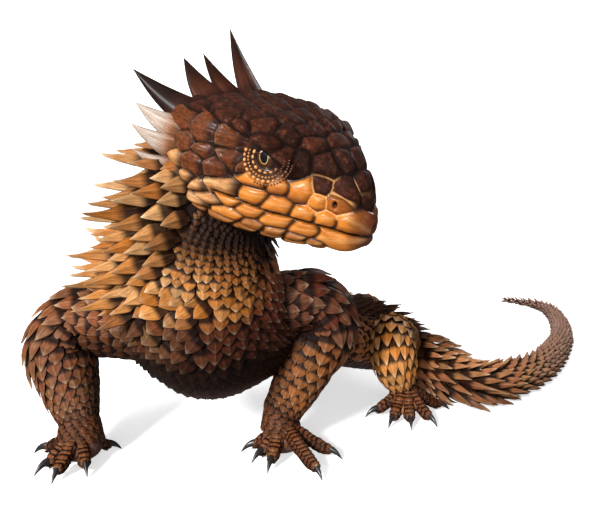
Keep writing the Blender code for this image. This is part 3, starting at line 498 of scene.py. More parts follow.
hide_mesh.shade_smooth()

# Every scale is a closed leaf of horn with a keel down its middle, rooted in the hide
# and lapped over the next row like a roof tile. Skin and scales take their colours
# from the same marks: how ochre, red, dark, mauve or pale the animal is at a place.
# Dark also carries painted shade, mauve a painted rim light and pale painted highlights.
LEAF_STEPS = np.array((0.0, 0.2, 0.4, 0.56, 0.7, 0.82, 0.92, 1.0))
LEAF_SIDES = np.array((-1.0, -0.82, -0.45, -0.12, 0.0, 0.12, 0.45, 0.82, 1.0))
LEAF_ALONG = np.append(np.repeat(LEAF_STEPS[:-1], len(LEAF_SIDES)), 1.0)
LEAF_ACROSS = np.append(np.tile(LEAF_SIDES, len(LEAF_STEPS) - 1), 0.0)
LEAF_WIDEST, KEEL_WIDTH = 0.42, 0.3
ROOT_SINK, SCALE_CLEAR = 0.35, 0.02
PATCH = 0.003
CROWDED, KEPT_ROWS = 0.5, 3
MARKS = ("ochre", "red", "dark", "mauve", "pale")
draw = np.random.default_rng(41)


def leaf_faces():
    """Faces of one closed leaf: its top, its underside and its root end."""
    rows, columns = len(LEAF_STEPS) - 1, len(LEAF_SIDES)
    tip, last = rows * columns, (rows - 1) * columns
    faces = grid_faces(rows, columns, closed=False)
    for column in range(columns - 1):
        faces += [[last + column, last + column + 1, tip], [0, column + 1, column]]
    for row in range(0, last, columns):
        faces.append([row + columns, row + 2 * columns - 1, row + columns - 1, row])
    faces.append([last, tip, last + columns - 1])
    return [face for face in faces if len(set(face)) == len(face)]


LEAF_FACES = leaf_faces()


def leaves(at, **shape):
    """Points of many leaves. point is how straight their sides run to the tip, and waist
    how narrow the root is."""
    length, width, thick, lift, hook, keel, point, waist = (
        np.broadcast_to(np.asarray(shape[name], float), len(at.run))[:, None]
        for name in ("length", "width", "thick", "lift", "hook", "keel", "point", "waist"))
    s, t = LEAF_ALONG[None], LEAF_ACROSS[None]
    grow = waist + (1.0 - waist) * np.sin(np.minimum(s / LEAF_WIDEST, 1.0) * math.pi / 2)
    fall = 1.0 - (np.maximum(s - LEAF_WIDEST, 0.0) / (1.0 - LEAF_WIDEST)) ** (2.4 - 1.3 * point)
    roof = thick * (1.0 - np.abs(t)) ** 0.75 * (0.6 + 0.5 * s) * (1.0 - 0.6 * s ** 4)
    ridge = keel * np.maximum(1.0 - np.abs(t) / KEEL_WIDTH, 0.0)
    ridge = ridge * np.sin(math.pi * np.minimum(0.2 + s, 1.0)) ** 0.6
    x, y, z = length * s, 0.5 * width * grow * fall * t, roof + ridge
    lean = lift + hook * s
    forward = x * np.cos(lean) - z * np.sin(lean)
    rise = x * np.sin(lean) + z * np.cos(lean) - ROOT_SINK
    points = (at.root[:, None] + at.along[:, None] * forward[..., None]
              + at.across[:, None] * y[..., None] + at.out[:, None] * rise[..., None])
    return points.reshape(-1, 3)


def carry(made, values):
    """Gives each point of a piece its values, under their names."""
    for name, value in values.items():
        mark = made.data.attributes.new(name, "FLOAT", "POINT")
        mark.data.foreach_set("value", np.asarray(value, np.float32))


def unwrap(made, where):
    """Lays a piece's points out on its unwrapped sheet, the OFBake map."""
    corners = np.empty(len(made.data.loops), np.int32)
    made.data.loops.foreach_get("vertex_index", corners)
    laid = made.data.uv_layers.new(name="OFBake")
    laid.data.foreach_set("uv", where[corners].astype(np.float32).ravel())


def dress(made, finish, nodes):
    """Gives a piece its finish and sets it in the place of the solids' forms."""
    made.data.materials.append(finish.made)
    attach(made, "root")
    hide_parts(*nodes)


def coat_piece(name, groups, nodes):
    """One joined piece of leaves. A group holds the leaves' points, their marks, and the
    place of each root on the unwrapped hide."""
    points, roots = (np.concatenate([group[key] for group in groups]) for key in ("points", "unwrapped"))
    points[:, 2] = np.maximum(points[:, 2], SCALE_CLEAR)
    faces = [[corner + start for corner in face] for start in range(0, len(points), len(LEAF_ALONG))
             for face in LEAF_FACES]
    made = mesh_of(name, points, faces)
    along, across = np.tile(LEAF_ALONG, len(roots)), np.tile(LEAF_ACROSS, len(roots))
    values = {"chance": draw.random(len(roots))}
    for mark in MARKS:
        values[mark] = np.concatenate([group["marks"][mark] for group in groups])
    values = {mark: np.repeat(value, len(LEAF_ALONG)) for mark, value in values.items()}
    carry(made, {"along": along, "across": across, **values})
    patches = np.stack([across * 0.5, along], 1) * PATCH
    unwrap(made, np.repeat(roots, len(LEAF_ALONG), axis=0) + patches)
    dress(made, horn, nodes)


class Places:
    """Where leaves are rooted on a form. run is the way along it, turned the angle from
    its back, side the sine of that angle, more than nought on the animal's left."""

    def __init__(self, **values):
        self.names = list(values)
        for name, value in values.items():
            setattr(self, name, value)

    def only(self, kept):
        return Places(**{name: getattr(self, name)[kept] for name in self.names})


def strew(form, start, stop, spacing, width, shape, marks, sheet, keep, stagger=0.5, twist=None,
          pull=None, jitter=0.06):
    """Rows of leaves on a form. spacing and width are read at each row, and shape, marks
    and keep at each leaf. sheet places the form on the unwrapped hide, twist turns the
    pattern about the form, and pull draws the leaves another way over the skin. Rows
    crowd on the inside of a bend, so there only every third row is kept."""
    angles, runs, wides, rows = [], [], [], []
    run = start
    while run < stop:
        ring_angles, lengths = form.girth(run)
        count = max(5, int(round(lengths[-1] / width(run))))
        row = np.full(count, len(rows))
        share = (np.arange(count) + stagger * (row % 2) + draw.uniform(-jitter, jitter, count)) / count
        angles.append(np.interp((share % 1.0) * lengths[-1], lengths, ring_angles))
        wides.append(np.full(count, lengths[-1] / count))
        runs.append(run + draw.uniform(-jitter, jitter, count) * spacing(run))
        rows.append(row)
        run += spacing(run)
    angle, run = np.concatenate(angles), np.clip(np.concatenate(runs), 0.0, form.run[-1])
    root, along, across, out = form.frames(run, angle)
    ahead = form.at(np.minimum(run + 0.5, form.run[-1]), angle)
    stretch = np.linalg.norm(ahead - form.at(np.maximum(run - 0.5, 0.0), angle), axis=1)
    crowded = stretch < CROWDED
    stretch = np.where(crowded, stretch * KEPT_ROWS, stretch)
    skewed = angle if twist is None else angle + twist(run)
    at = Places(root=root, along=along, across=across, out=out, run=run, angle=angle, side=np.sin(skewed),
                turned=np.abs((skewed + math.pi) % ROUND - math.pi), wide=np.concatenate(wides),
                apart=stretch * spacing(run))
    at = at.only(keep(at) & ~(crowded & (np.concatenate(rows) % KEPT_ROWS > 0)))
    if pull is not None:
        wish = pull(at)
        handed = np.sign((at.across * np.cross(at.out, at.along)).sum(1))[:, None]
        at.along = unit(at.along + wish - (wish * at.out).sum(1)[:, None] * at.out)
        at.across = handed * np.cross(at.out, at.along)
    low, high = np.array(sheet)
    on_sheet = np.stack([at.angle / ROUND, at.run / form.run[-1]], 1)
    points = leaves(at, **shape(at))
    found = {mark: np.full(len(at.run), value) for mark, value in marks(at).items()}
    return {"points": points, "marks": found, "unwrapped": low + (high - low) * on_sheet}


def ease(value, low, high):
    """Nought below low, one above high, and smooth between."""
    share = np.clip((np.asarray(value, float) - low) / (high - low), 0.0, 1.0)
    return share * share * (3.0 - 2.0 * share)


def past(value, low, high):
    """One below low, nought above high, and smooth between."""
    return 1.0 - ease(value, low, high)


# Colours of the horn, from the drawing: a warm brown ground, ochre, brick red, nearly black, a greyed mauve
# and the pale tips, which show wear. Nearly black also serves as painted shade, the mauve as a painted rim
# light and the pale tips as painted highlights.
BROWN, OCHRE = colour(0.235, 0.064, 0.018), colour(0.62, 0.195, 0.02)
BRICK, BLACK = colour(0.150, 0.030, 0.013), colour(0.0060, 0.0022, 0.0016)
MAUVE, PALE = colour(0.30, 0.155, 0.135), colour(0.80, 0.50, 0.22)
HIGHLIGHT_AND_WEAR = colour(0.90, 0.70, 0.44)


def marked_finish(name):
    """A finish with the ground colour under all marks, and its fine mottling."""
    finish = Finish(name)
    fleck = finish.smooth(finish.noise(420.0, 5.0, 0.65), 0.35, 0.72)
    broad = finish.noise(90.0, 3.0)
    finish.ground = BROWN
    finish.over(broad, finish.mix(0.5, BROWN, BRICK))
    finish.over(finish.mark("ochre") * (0.72 + 0.5 * broad), OCHRE)
    finish.over(finish.mark("red"), BRICK)
    finish.over(finish.mark("mauve"), MAUVE)
    finish.over(finish.mark("pale") * (0.5 + 0.5 * fleck), PALE)
    finish.over(finish.mark("dark"), BLACK)
    return finish, fleck


# Keeled scales are painted dark at the root and along the sides near it, as shade between the lapped
# scales, and are fibrous along. Their tips, keels and outer rims carry painted highlights, and the rims a
# painted mauve rim light.
horn, fleck = marked_finish("scale_horn")
along, across, chance = (horn.mark(name) for name in ("along", "across", "chance"))
light = 1.0 - horn.mark("dark")
fibre = horn.fibres(2.6, 5.0, 0.66, across * 3.4, along * 1.1, chance * 60.0)
horn.over((1.0 - horn.smooth(fibre, 0.36, 0.6)) * 0.62, horn.mix(0.7, horn.ground, BLACK))
horn.over(horn.smooth(fibre, 0.55, 0.72) * 0.22 * light, PALE)
horn.over(fleck * 0.2, BLACK)
# Painted highlight on the tip, partly wear, stronger on pale scales.
worn = horn.smooth(along, 0.7, 1.0) * (0.15 + 0.6 * chance) * light
horn.over(worn * (0.45 + horn.mark("pale")), HIGHLIGHT_AND_WEAR)
# Painted highlight along the keel.
edge = across * across
keel = (1.0 - horn.smooth(edge, 0.0, 0.03)) * horn.smooth(along, 0.25, 0.7)
horn.over(keel * 0.06 * light, HIGHLIGHT_AND_WEAR)
# Painted shade at the root, under the scale before.
horn.over((1.0 - horn.smooth(along, 0.28, 0.50)) * 0.93, BLACK)
# Painted shade on the sides near the root, a painted highlight on the rim near the tip, and a painted mauve
# rim light there.
rim, outer = horn.smooth(edge, 0.72, 1.0), horn.smooth(along, 0.5, 0.9)
horn.over(rim * (1.0 - outer) * 0.75, BLACK)
horn.over(rim * outer * 0.55 * light, HIGHLIGHT_AND_WEAR)
horn.over(rim * horn.smooth(along, 0.6, 0.9) * (0.14 + 0.5 * horn.mark("mauve")), MAUVE)
horn.set(Base_Color=horn.ground, Roughness=0.42 + 0.2 * fleck, Coat_Weight=0.04 * along,
         Coat_Roughness=0.3, Specular_IOR_Level=0.09, Normal=horn.bump(fibre, 0.6, 0.0003))

# Where the hide shows between the scales it is leather painted nearly black as shade in the gaps, less so
# where it is bare at the feet, with fine pebbles.
leather, fleck = marked_finish("hide_leather")
leather.over(0.9 - 0.45 * leather.mark("bare"), BLACK)
pebbles = leather.node("ShaderNodeTexVoronoi", {}, {"Vector": leather.place(), "Scale": 900.0})
leather.set(Base_Color=leather.ground, Specular_IOR_Level=0.08, Roughness=0.6 + 0.2 * fleck,
            Normal=leather.bump(pebbles, 0.5, 0.0003))

# Neck, trunk and tail. Long spines stand out from the sides of the neck, keeled
# diamonds lie down the chest, square scutes run in girdles along flank and back, small
# smooth tiles cover the belly, and the tail is ringed with whorls of pointed scutes.
# Positions count the rows of the trunk's table.
NECK_ENDS, RUFF_ENDS, CHEST_ENDS, PELVIS_ENDS = 2.9, 3.7, 6.3, 11.6
NECK_TWIST = 0.62
LEG_LAP = 1.6
# How far back, to the side and under the head's rear edge the neck's scales begin.
HEAD_ROOM = (-1.0, 16.0, -12.5)
THROAT_EDGE, THROAT_LAP = ((0.0, 2.3), (1.5, 2.35), (2.6, 2.4)), 0.1
THROAT_STEPS = (0.2, 1.2, 2.2, 2.9)
THROAT_SPACING, THROAT_WIDTH = (0.7, 0.8, 1.2, 1.9), (1.3, 1.5, 2.1, 3.3)
TRUNK_SHEET = ((0.02, 0.02), (0.48, 0.62))
TAIL_NODES = ("tail_1", "tail_2", "tail_3", "tail_4", "tail_5")
position_of_run = np.linspace(0.0, len(TRUNK) - 1, len(trunk.run))


def run_at(position):
    return float(np.interp(position, position_of_run, trunk.run))


def position_at(run):
    return np.interp(run, trunk.run, position_of_run)


def neck_twist(run):
    """The skin of the neck turns to the animal's left with its head."""
    return NECK_TWIST * past(position_at(run), 1.2, 4.4)


def neck_pull(at):
    """On the animal's right the spines of the neck stand out sideways and the shields
    of the shoulder slant down; on its left they slant the other way."""
    position = position_at(at.run)
    strength = 1.0 - ease(at.side, -0.15, 0.5) * (at.turned < 3.0)
    strength *= np.interp(position, (0.0, 2.6, 3.6, 4.6, 5.6), (2.2, 2.0, 0.9, 0.45, 0.0))
    strength *= ease(np.pi - at.turned + 0.5 * (at.side < 0), 0.0, 0.6) * ease(at.turned, 0.3, 0.9)
    left = 0.8 * ease(at.side, 0.45, 0.8) * ease(position, 2.2, 3.4) * past(position, 5.0, 6.3)
    return (left - strength)[:, None] * np.array((1.0, 0.0, 0.0))


def on_trunk(at):
    """Leaves out what would lie inside a leg or inside the head."""
    forward, left, up = ((at.root - np.array(HEAD_PLACE)) @ HEAD_AXES).T
    kept = (forward <= HEAD_ROOM[0]) | (np.abs(left) >= HEAD_ROOM[1]) | (up <= HEAD_ROOM[2])
    for leg in LEGS.values():
        start, way = np.array(leg["root"]), np.array(leg["bend"]) - np.array(leg["root"])
        share = np.clip((at.root - start) @ way / (way @ way), 0.0, 1.0)
        away = np.linalg.norm(at.root - start - share[:, None] * way, axis=1)
        kept &= away > leg["reach"][0] - LEG_LAP
    return kept


def zone(name):
    """Keeps the leaves of one kind: spines of the neck, which run on over the right
    shoulder, throat, large shields of the right shoulder, belly, or chest between."""
    def keep(at):
        position = position_at(at.run)
        edge = np.interp(position, *zip(*THROAT_EDGE))
        ruff = (at.side < -0.3) & (at.turned > 0.8) & (at.turned < 2.4) & (position >= NECK_ENDS)
        ruff &= position < RUFF_ENDS
        shoulder = (at.side < 0.0) & (at.turned > 0.9) & (at.turned < 2.75) & (at.root[:, 2] > 39.0)
        shoulder &= (position < 5.2) & ~ruff
        belly = (at.turned > 1.3) & (at.root[:, 2] < 32.0)
        zones = {"neck": (at.turned < edge) & (position < NECK_ENDS) | ruff,
                 "throat": at.turned >= edge - THROAT_LAP, "shoulder": shoulder, "belly": belly,
                 "chest": ~(shoulder | belly | ruff)}
        return on_trunk(at) & zones[name]
    return keep


def trunk_marks(at):
    """Chest and flank ochre, left shoulder red, back nearly black. Throat, the left of the neck by the
    head, and the underside are painted nearly black as shade, the lit right and the chest's middle get more
    ochre and painted highlights, and the belly's lowest edge and the left shoulder a painted mauve rim
    light.
    """
    position, turned, side, high = position_at(at.run), at.turned, at.side, at.root[:, 2]
    chance = draw.random(len(high))
    back = past(turned, 0.55, 1.15)
    tail = ease(position, 11.0, 13.0)
    right, left = ease(-side, -0.3, 0.6), ease(side, 0.45, 0.95)
    # Painted shade: the throat under the jaw is nearly black.
    throat = ease(turned, 2.0, 2.4) * past(position - 2.35 - 0.5 * ease(side, 0.2, 0.8), -0.5, 0.5)
    # Painted shade on the left of the neck by the head.
    shade_left_of_neck = ease(side, 0.3, 0.75) * past(position, 2.2, 3.2)
    front = ease(position, 1.5, 3.2) * past(position, 5.4, 6.4) * (1.0 - back)
    flank = ease(position, 5.6, 6.6) * (1.0 - back) * past(turned, 1.75, 2.2) * (1.0 - tail)
    behind = ease(position, 5.4, 6.6)
    low = ease(49.0 - high, 0.0, 6.5) * ease(position, 2.6, 3.4) * (1.0 - tail) * (1.0 - behind)
    # Painted shade underneath the chest and along the belly.
    under = ease(41.5 - high, 0.0, 9.0) * ease(turned, 1.0, 1.7) * (1.0 - behind)
    under = (under + behind * ease(turned, 1.9, 2.3)) * (1.0 - tail)
    # Painted mauve rim light along the belly's lowest edge, which is less dark there.
    rim = ease(27.0 - high, 0.0, 8.0) * ease(position, 3.0, 4.0)
    # Painted light: more ochre on the lit right side and in the chest's middle, where the head would shade
    # it, and less on the left and low down.
    middle = ease(turned, 2.2, 2.6) * ease(position, 2.3, 2.9) * past(position, 3.4, 3.9) * (1.0 - left)
    lit = np.maximum(0.7 + 0.3 * right, middle) * (1.0 - 0.75 * left) * (1.0 - 0.8 * low)
    ochre = np.clip(1.1 * front * lit + 0.7 * right * past(position, 2.0, 3.4) + 0.85 * flank
                    + 0.8 * tail * past(position, 17.0, 22.0), 0.0, 1.0)
    red = 0.9 * ease(side, 0.5, 0.8) * ease(position, 2.0, 3.8) * past(position, 6.0, 7.0) + 0.85 * low
    red += 0.4 * tail * draw.random(len(high))
    red += 0.5 * right * past(position, 2.6, 3.6) * draw.random(len(high)) ** 2
    # The back is nearly black by its own colour; throat, left of the neck and underside by painted shade.
    dark = np.max([0.8 * back * past(position, 10.5, 12.5) * ease(position, 4.2, 5.4),
                   throat * (0.965 + 0.02 * ease(side, -0.3, 0.5)), 0.85 * shade_left_of_neck,
                   (0.955 - 0.3 * rim) * under, 0.6 * low, 0.5 * chance ** 2,
                   0.65 * tail * ease(turned, 1.2, 2.0)], 0)
    mauve = 0.25 * tail + 0.7 * ease(position, 15.0, 20.0)
    # Painted mauve rim light on the left shoulder.
    mauve += 0.3 * left * ease(position, 4.0, 5.5) * (1.0 - tail)
    # Painted highlights on the lit right of neck and shoulder and in the chest's middle.
    worn = right * (0.9 - 0.5 * ease(position, 2.6, 3.4)) * past(position, 3.6, 4.8) * (1.0 - throat)
    worn = np.maximum(worn, 0.3 * middle * (1.0 - low))
    return {"ochre": ochre * (0.65 + 0.55 * chance), "red": np.clip(red, 0.0, 1.0),
            "dark": np.clip(dark, 0.0, 1.0),
            "mauve": np.clip(np.maximum(mauve, 0.8 * under * rim), 0.0, 1.0),
            "pale": worn * draw.random(len(high)) + 0.4 * tail * chance}


def neck_shape(at):
    """Spines on the sides, low keeled scales on the nape."""
    position = position_at(at.run)
    flat = 0.55 + 0.3 * ease(position, 2.2, 3.0)
    flank = ease(at.turned, 0.35, 0.95) * (1.0 - flat * ease(at.turned, 1.75, 2.4))
    grown = ease(position, 0.1, 1.5) * draw.uniform(0.4, 1.25, len(at.run))
    grown *= 1.0 + 0.4 * ease(position, 2.0, 3.4)
    spine = flank * (1.0 - 0.62 * ease(at.side, 0.0, 0.8)) * grown
    return {"length": np.maximum(4.2 + 8.8 * spine, 1.25 * at.apart),
            "width": at.wide * (1.05 + 0.12 * spine), "thick": 0.35 + 0.85 * spine,
            "lift": 0.24 + 0.5 * spine, "hook": 0.22 * spine,
            "keel": 0.25 + 0.5 * spine, "point": 0.8 + 0.4 * spine, "waist": 0.8}


def throat_shape(at):
    """Small close scales on the throat, larger where it meets the chest."""
    return {"length": 1.6 * at.apart * draw.uniform(0.9, 1.12, len(at.run)), "width": at.wide * 1.2,
            "thick": 0.35, "lift": 0.22, "hook": 0.0, "keel": 0.16, "point": 0.55, "waist": 0.9}


def chest_shape(at):
    """Keeled diamonds, sharper and prouder towards the shoulders, flat below."""
    sharp = ease(at.turned, 0.9, 1.5) * past(at.turned, 2.0, 2.6) * past(position_at(at.run), 5.2, 6.2)
    back, belly = past(at.turned, 0.7, 1.2), ease(30.0 - at.root[:, 2], 0.0, 12.0)
    length = (1.85 * at.apart + 2.6 * sharp - 0.2 * belly) * draw.uniform(0.9, 1.12, len(at.run))
    return {"length": length, "width": at.wide * (1.28 + 0.1 * sharp),
            "thick": 0.3 + 0.5 * sharp - 0.08 * belly, "lift": 0.10 + 0.26 * sharp + 0.22 * back,
            "hook": 0.0, "keel": 0.12 + 0.36 * sharp + 0.3 * back - 0.05 * belly,
            "point": 0.62 + 0.38 * sharp + 0.3 * back - 0.3 * belly, "waist": 0.85}


def back_shape(at):
    """Girdles of square keeled scutes, spiny along the back, smooth on the belly."""
    back, belly = past(at.turned, 0.8, 1.4), ease(at.turned, 1.9, 2.5)
    length = (1.32 + 0.35 * back) * at.apart * draw.uniform(0.92, 1.08, len(at.run))
    return {"length": length, "width": at.wide, "thick": 0.45 - 0.1 * belly,
            "lift": 0.2 + 0.28 * back - 0.12 * belly, "hook": 0.1 * back,
            "keel": 0.35 + 0.4 * back - 0.3 * belly, "point": 0.35 + 0.6 * back - 0.2 * belly, "waist": 0.9}


def tail_shape(at):
    """Whorls of pointed keeled scutes that shrink with the tail."""
    position = position_at(at.run)
    under = ease(at.turned, 2.0, 2.7) * ease(position, 12.4, 13.0)
    far = ease(position, 14.0, 18.5)
    long = 1.85 - 0.25 * far + 0.5 * past(position, 13.0, 17.0) * ease(at.turned, 0.6, 1.1)
    length = long * at.apart * draw.uniform(0.92, 1.12, len(at.run))
    lift = 0.48 + 0.2 * past(at.turned, 0.5, 1.1) + 0.04 * far
    return {"length": length * (1.0 - 0.35 * under), "width": at.wide * 1.05,
            "thick": (0.13 - 0.03 * far) * length * (1.0 - 0.6 * under),
            "lift": lift * (1.0 - under) + 0.02, "hook": -0.08,
            "keel": 0.08 * length * (1.0 - under), "point": 1.0, "waist": 0.9}


def throat_table(values):
    return lambda run: np.interp(position_at(run), THROAT_STEPS, values)


def tail_table(least, share):
    return lambda run: least + share * np.interp(run, trunk.run, trunk.reaches[:, 0])


def trunk_group(start, stop, spacing, width, shape, keep, **more):
    return strew(trunk, start, stop, spacing, width, shape, trunk_marks, TRUNK_SHEET, keep, **more)


chest_starts, chest_stops, tail_starts = (run_at(end) for end in (NECK_ENDS, CHEST_ENDS, PELVIS_ENDS))
neck_group = trunk_group(run_at(0.1), run_at(RUFF_ENDS), lambda run: 2.9, lambda run: 4.2, neck_shape,
                         zone("neck"), twist=neck_twist, pull=neck_pull, jitter=0.24)
throat_group = trunk_group(run_at(0.2), chest_starts, throat_table(THROAT_SPACING),
                           throat_table(THROAT_WIDTH), throat_shape, zone("throat"),
                           twist=neck_twist, jitter=0.16)
shoulder_group = trunk_group(chest_starts, chest_stops, lambda run: 2.7, lambda run: 5.2, chest_shape,
                             zone("shoulder"), twist=neck_twist, pull=neck_pull)
chest_group = trunk_group(chest_starts, chest_stops, lambda run: 2.0, lambda run: 3.6, chest_shape,
                          zone("chest"), twist=neck_twist, pull=neck_pull)
belly_group = trunk_group(chest_starts, chest_stops, lambda run: 1.6, lambda run: 3.0, chest_shape,
                          zone("belly"), twist=neck_twist)
back_group = trunk_group(chest_stops, tail_starts, lambda run: 3.3, lambda run: 3.5, back_shape, on_trunk,
                         stagger=0.0)
tail_group = trunk_group(tail_starts, trunk.run[-1] - 1.0, tail_table(1.9, 0.26), tail_table(1.0, 0.25),
                         tail_shape, on_trunk)
coat_piece("neck_spines", [neck_group, throat_group], ["neck"])
coat_piece("chest_scales", [shoulder_group, chest_group, belly_group], ["chest"])
coat_piece("back_girdles", [back_group], ["abdomen", "pelvis"])
coat_piece("tail_whorls", [tail_group], TAIL_NODES)

# Legs: lapped keeled diamonds, large and sharp on the outside of shoulder and elbow,
# shrinking to small dark tiles at the wrist. Each toe is ringed with broad scales.
LEG_SHEETS = {"right_fore": ((0.52, 0.02), (0.70, 0.40)), "left_fore": ((0.76, 0.02), (0.94, 0.40)),
              "left_hind": ((0.52, 0.44), (0.70, 0.80)), "right_hind": ((0.76, 0.44), (0.94, 0.80))}
# How ochre, red and pale each leg is.
LEG_TINTS = {"right_fore": (0.24, 0.85, 0.2), "left_fore": (0.6, 0.6, 0.15),
             "left_hind": (1.2, 0.0, 0.6), "right_hind": (0.5, 0.3, 0.0)}
LEG_STEPS, LEG_SPACING, LEG_WIDTH = (0.0, 0.6, 0.84, 1.0), (3.5, 3.1, 2.5, 1.1), (4.7, 4.4, 3.6, 2.2)
HIND_CLOSER, HIND_NARROWER = 0.7, 0.8
TRUNK_LAP = 1.2


def from_trunk(points, step):
    """The nearest place of the trunk's middle line, and the way to its left and back."""
    nearest = np.argmin(((points[:, None] - trunk.middles[None, ::step]) ** 2).sum(-1), 1) * step
    offset = points - trunk.middles[nearest]
    return nearest, (offset * trunk.lefts[nearest]).sum(1), (offset * trunk.dorsals[nearest]).sum(1)


def off_trunk(at):
    """Keeps what lies outside the trunk's own form, or just under its skin."""
    nearest, side, up = from_trunk(at.root, 4)
    wide, above, below = trunk.reaches[nearest].T
    share = np.hypot(side / wide, up / np.where(up > 0, above, below))
    return np.hypot(side, up) * (1.0 - 1.0 / np.maximum(share, 0.1)) > -TRUNK_LAP


def leg_group(name, form):
    """The scales of one leg, from the trunk to the wrist or ankle."""
    ochre_tint, red_tint, pale_tint = LEG_TINTS[name]
    far = form.run[-1]
    closer, narrower = (1.0, 1.0) if "fore" in name else (HIND_CLOSER, HIND_NARROWER)

    def spacing(run):
        return np.interp(run / far, LEG_STEPS, LEG_SPACING) * closer

    def width(run):
        return np.interp(run / far, LEG_STEPS, LEG_WIDTH) * narrower

    def shape(at):
        share = at.run / far
        outer, small = past(at.turned, 0.9, 2.2), ease(share, 0.8, 1.0)
        bend = ease(at.apart / spacing(at.run), 1.15, 1.7)
        proud = outer * (0.3 if name == "left_fore" else 1.0) * (1.0 - small)
        length = (1.68 - 0.25 * bend) * at.apart + proud + 1.3 * ease(share, 0.92, 1.0)
        length = length * draw.uniform(0.92, 1.1, len(share))
        return {"length": length, "width": at.wide * 1.25, "thick": 0.085 * length,
                "lift": 0.12 + 0.16 * proud - 0.05 * bend, "hook": -0.08 - 0.2 * bend,
                "keel": 0.05 * length, "point": 0.95 - 0.45 * small - 0.3 * (1.0 - outer), "waist": 0.85}

    def marks(at):
        share = at.run / far
        chance = draw.random(len(share))
        ochre = ochre_tint * (0.6 + 0.6 * chance) * past(share, 0.85, 1.0)
        red = red_tint * (0.4 + 0.6 * chance)
        dark = np.maximum(np.maximum(0.7 * ease(share, 0.86, 1.0), 0.75 * ease(at.turned, 1.6, 2.6)),
                          0.5 * chance ** 2)
        # Towards the tail each leg is darker, and there carries a painted mauve rim light.
        rear = 0.8 * ease(at.root[:, 0] - form.read(form.middles, at.run)[:, 0], 2.5, 7.0)
        if name == "right_fore":
            rear = 0.0
            dark = np.maximum(dark, 0.35 * ease(share, 0.4, 0.6))
        dark = np.maximum(dark, 0.6 * rear)
        if name == "left_fore":
            shoulder = past(share, 0.4, 0.62)
            ochre, red = ochre * (1.0 - 0.9 * shoulder), np.maximum(red, shoulder)
            # The shoulder also carries the painted mauve rim light.
            dark, rear = np.maximum(dark, 0.3 * shoulder), np.maximum(rear, 0.5 * shoulder)
        return {"ochre": ochre, "red": red, "dark": dark, "mauve": 0.35 * rear * chance,
                "pale": pale_tint * chance}

    return strew(form, 0.5, far - 0.4, spacing, width, shape, marks, LEG_SHEETS[name], off_trunk)


def above_floor(height):
    return lambda at: at.root[:, 2] > height


def tile_shape(at):
    return {"length": 2.2, "width": at.wide * 1.15, "thick": 0.3, "lift": 0.2, "hook": -0.1, "keel": 0.0,
            "point": 0.1, "waist": 0.9}


def tile_marks(at):
    chance = draw.random(len(at.run))
    return {"ochre": 0.35 * chance, "red": 0.45 * chance, "dark": 0.45 + 0.3 * chance,
            "mauve": 0.0, "pale": 0.0}


def ring_shape(at):
    top = past(at.turned, 0.5, 1.2)
    return {"length": 2.0 + 0.2 * top, "width": at.wide * (1.0 + 0.4 * top), "thick": 0.5 + 0.15 * top,
            "lift": 0.2, "hook": -0.25, "keel": 0.0, "point": 0.05, "waist": 0.9}


def ring_marks(at):
    # Painted light and shade: toe rings are more ochre and pale on top and darker underneath.
    top, chance = past(at.turned, 0.4, 1.4), draw.random(len(at.run))
    return {"ochre": 0.05 * top + 0.2 * chance, "red": 0.5 * chance,
            "dark": 0.3 + 0.3 * (1.0 - top) + 0.15 * chance, "mauve": 0.0, "pale": 0.15 * top * chance}


def foot_groups(name):
    """Small tiles over the palm or sole, and rings of broad scales along each toe."""
    (left, _), (right, top) = LEG_SHEETS[name]
    toe_room = (right - left) / len(toes[name])
    sheet = ((left, top + 0.01), (right, top + 0.03))
    groups = [strew(palms[name], 0.0, palms[name].run[-1], lambda run: 1.25, lambda run: 2.3, tile_shape,
                    tile_marks, sheet, above_floor(0.6))]
    for toe in toes[name]:
        sheet = ((left, top + 0.03), (left + 0.03, top + 0.15))
        groups.append(strew(toe, 1.0, toe.run[-1] - 0.3, lambda run: 1.4, lambda run: 2.2, ring_shape,
                            ring_marks, sheet, above_floor(0.45), stagger=0.0))
        left += toe_room
    return groups


for name, leg in LEGS.items():
    coat_piece(name + "_scales", [leg_group(name, legs[name])], leg["nodes"][:2])
    coat_piece(name + "_foot_scales", foot_groups(name), leg["nodes"][2:])

# The hide takes the marks of the trunk at its nearest place, and is barer at the feet.
hide_points = places / MM - POSE_TO_PART
hide_marks = []
for some in np.split(hide_points, range(20000, len(hide_points), 20000)):
    nearest, side, up = from_trunk(some, 6)
    angle = np.arctan2(side, up)
    hide_marks.append(trunk_marks(Places(root=some, run=trunk.run[nearest], turned=np.abs(angle),
                                         side=np.sin(angle))))
hide_marks = {mark: np.concatenate([some[mark] for some in hide_marks]) for mark in MARKS}
bare = np.zeros(len(hide_points))
for leg in LEGS.values():
    aside = np.linalg.norm((hide_points - np.array(leg["palm"]))[:, :2], axis=1)
    bare = np.maximum(bare, ease(13.0 - hide_points[:, 2], 0.0, 4.0) * past(aside, 9.0, 13.0))
hide_marks["dark"] *= 1.0 - 0.6 * bare
carry(hide, {**hide_marks, "bare": bare})
dress(hide, leather, ("neck", "chest", "abdomen", "pelvis") + TAIL_NODES)

# Claws: polished black horns, hooked and flattened a little, one on each toe. They
# stand on the floor with their points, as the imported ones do.
CLAW_REACH, CLAW_FLATNESS, CLAW_BLUNT = 1.15, 0.82, 0.03
CLAW_ARCH, CLAW_DROP, CLAW_SUNK = 0.35, -2.45, 0.6


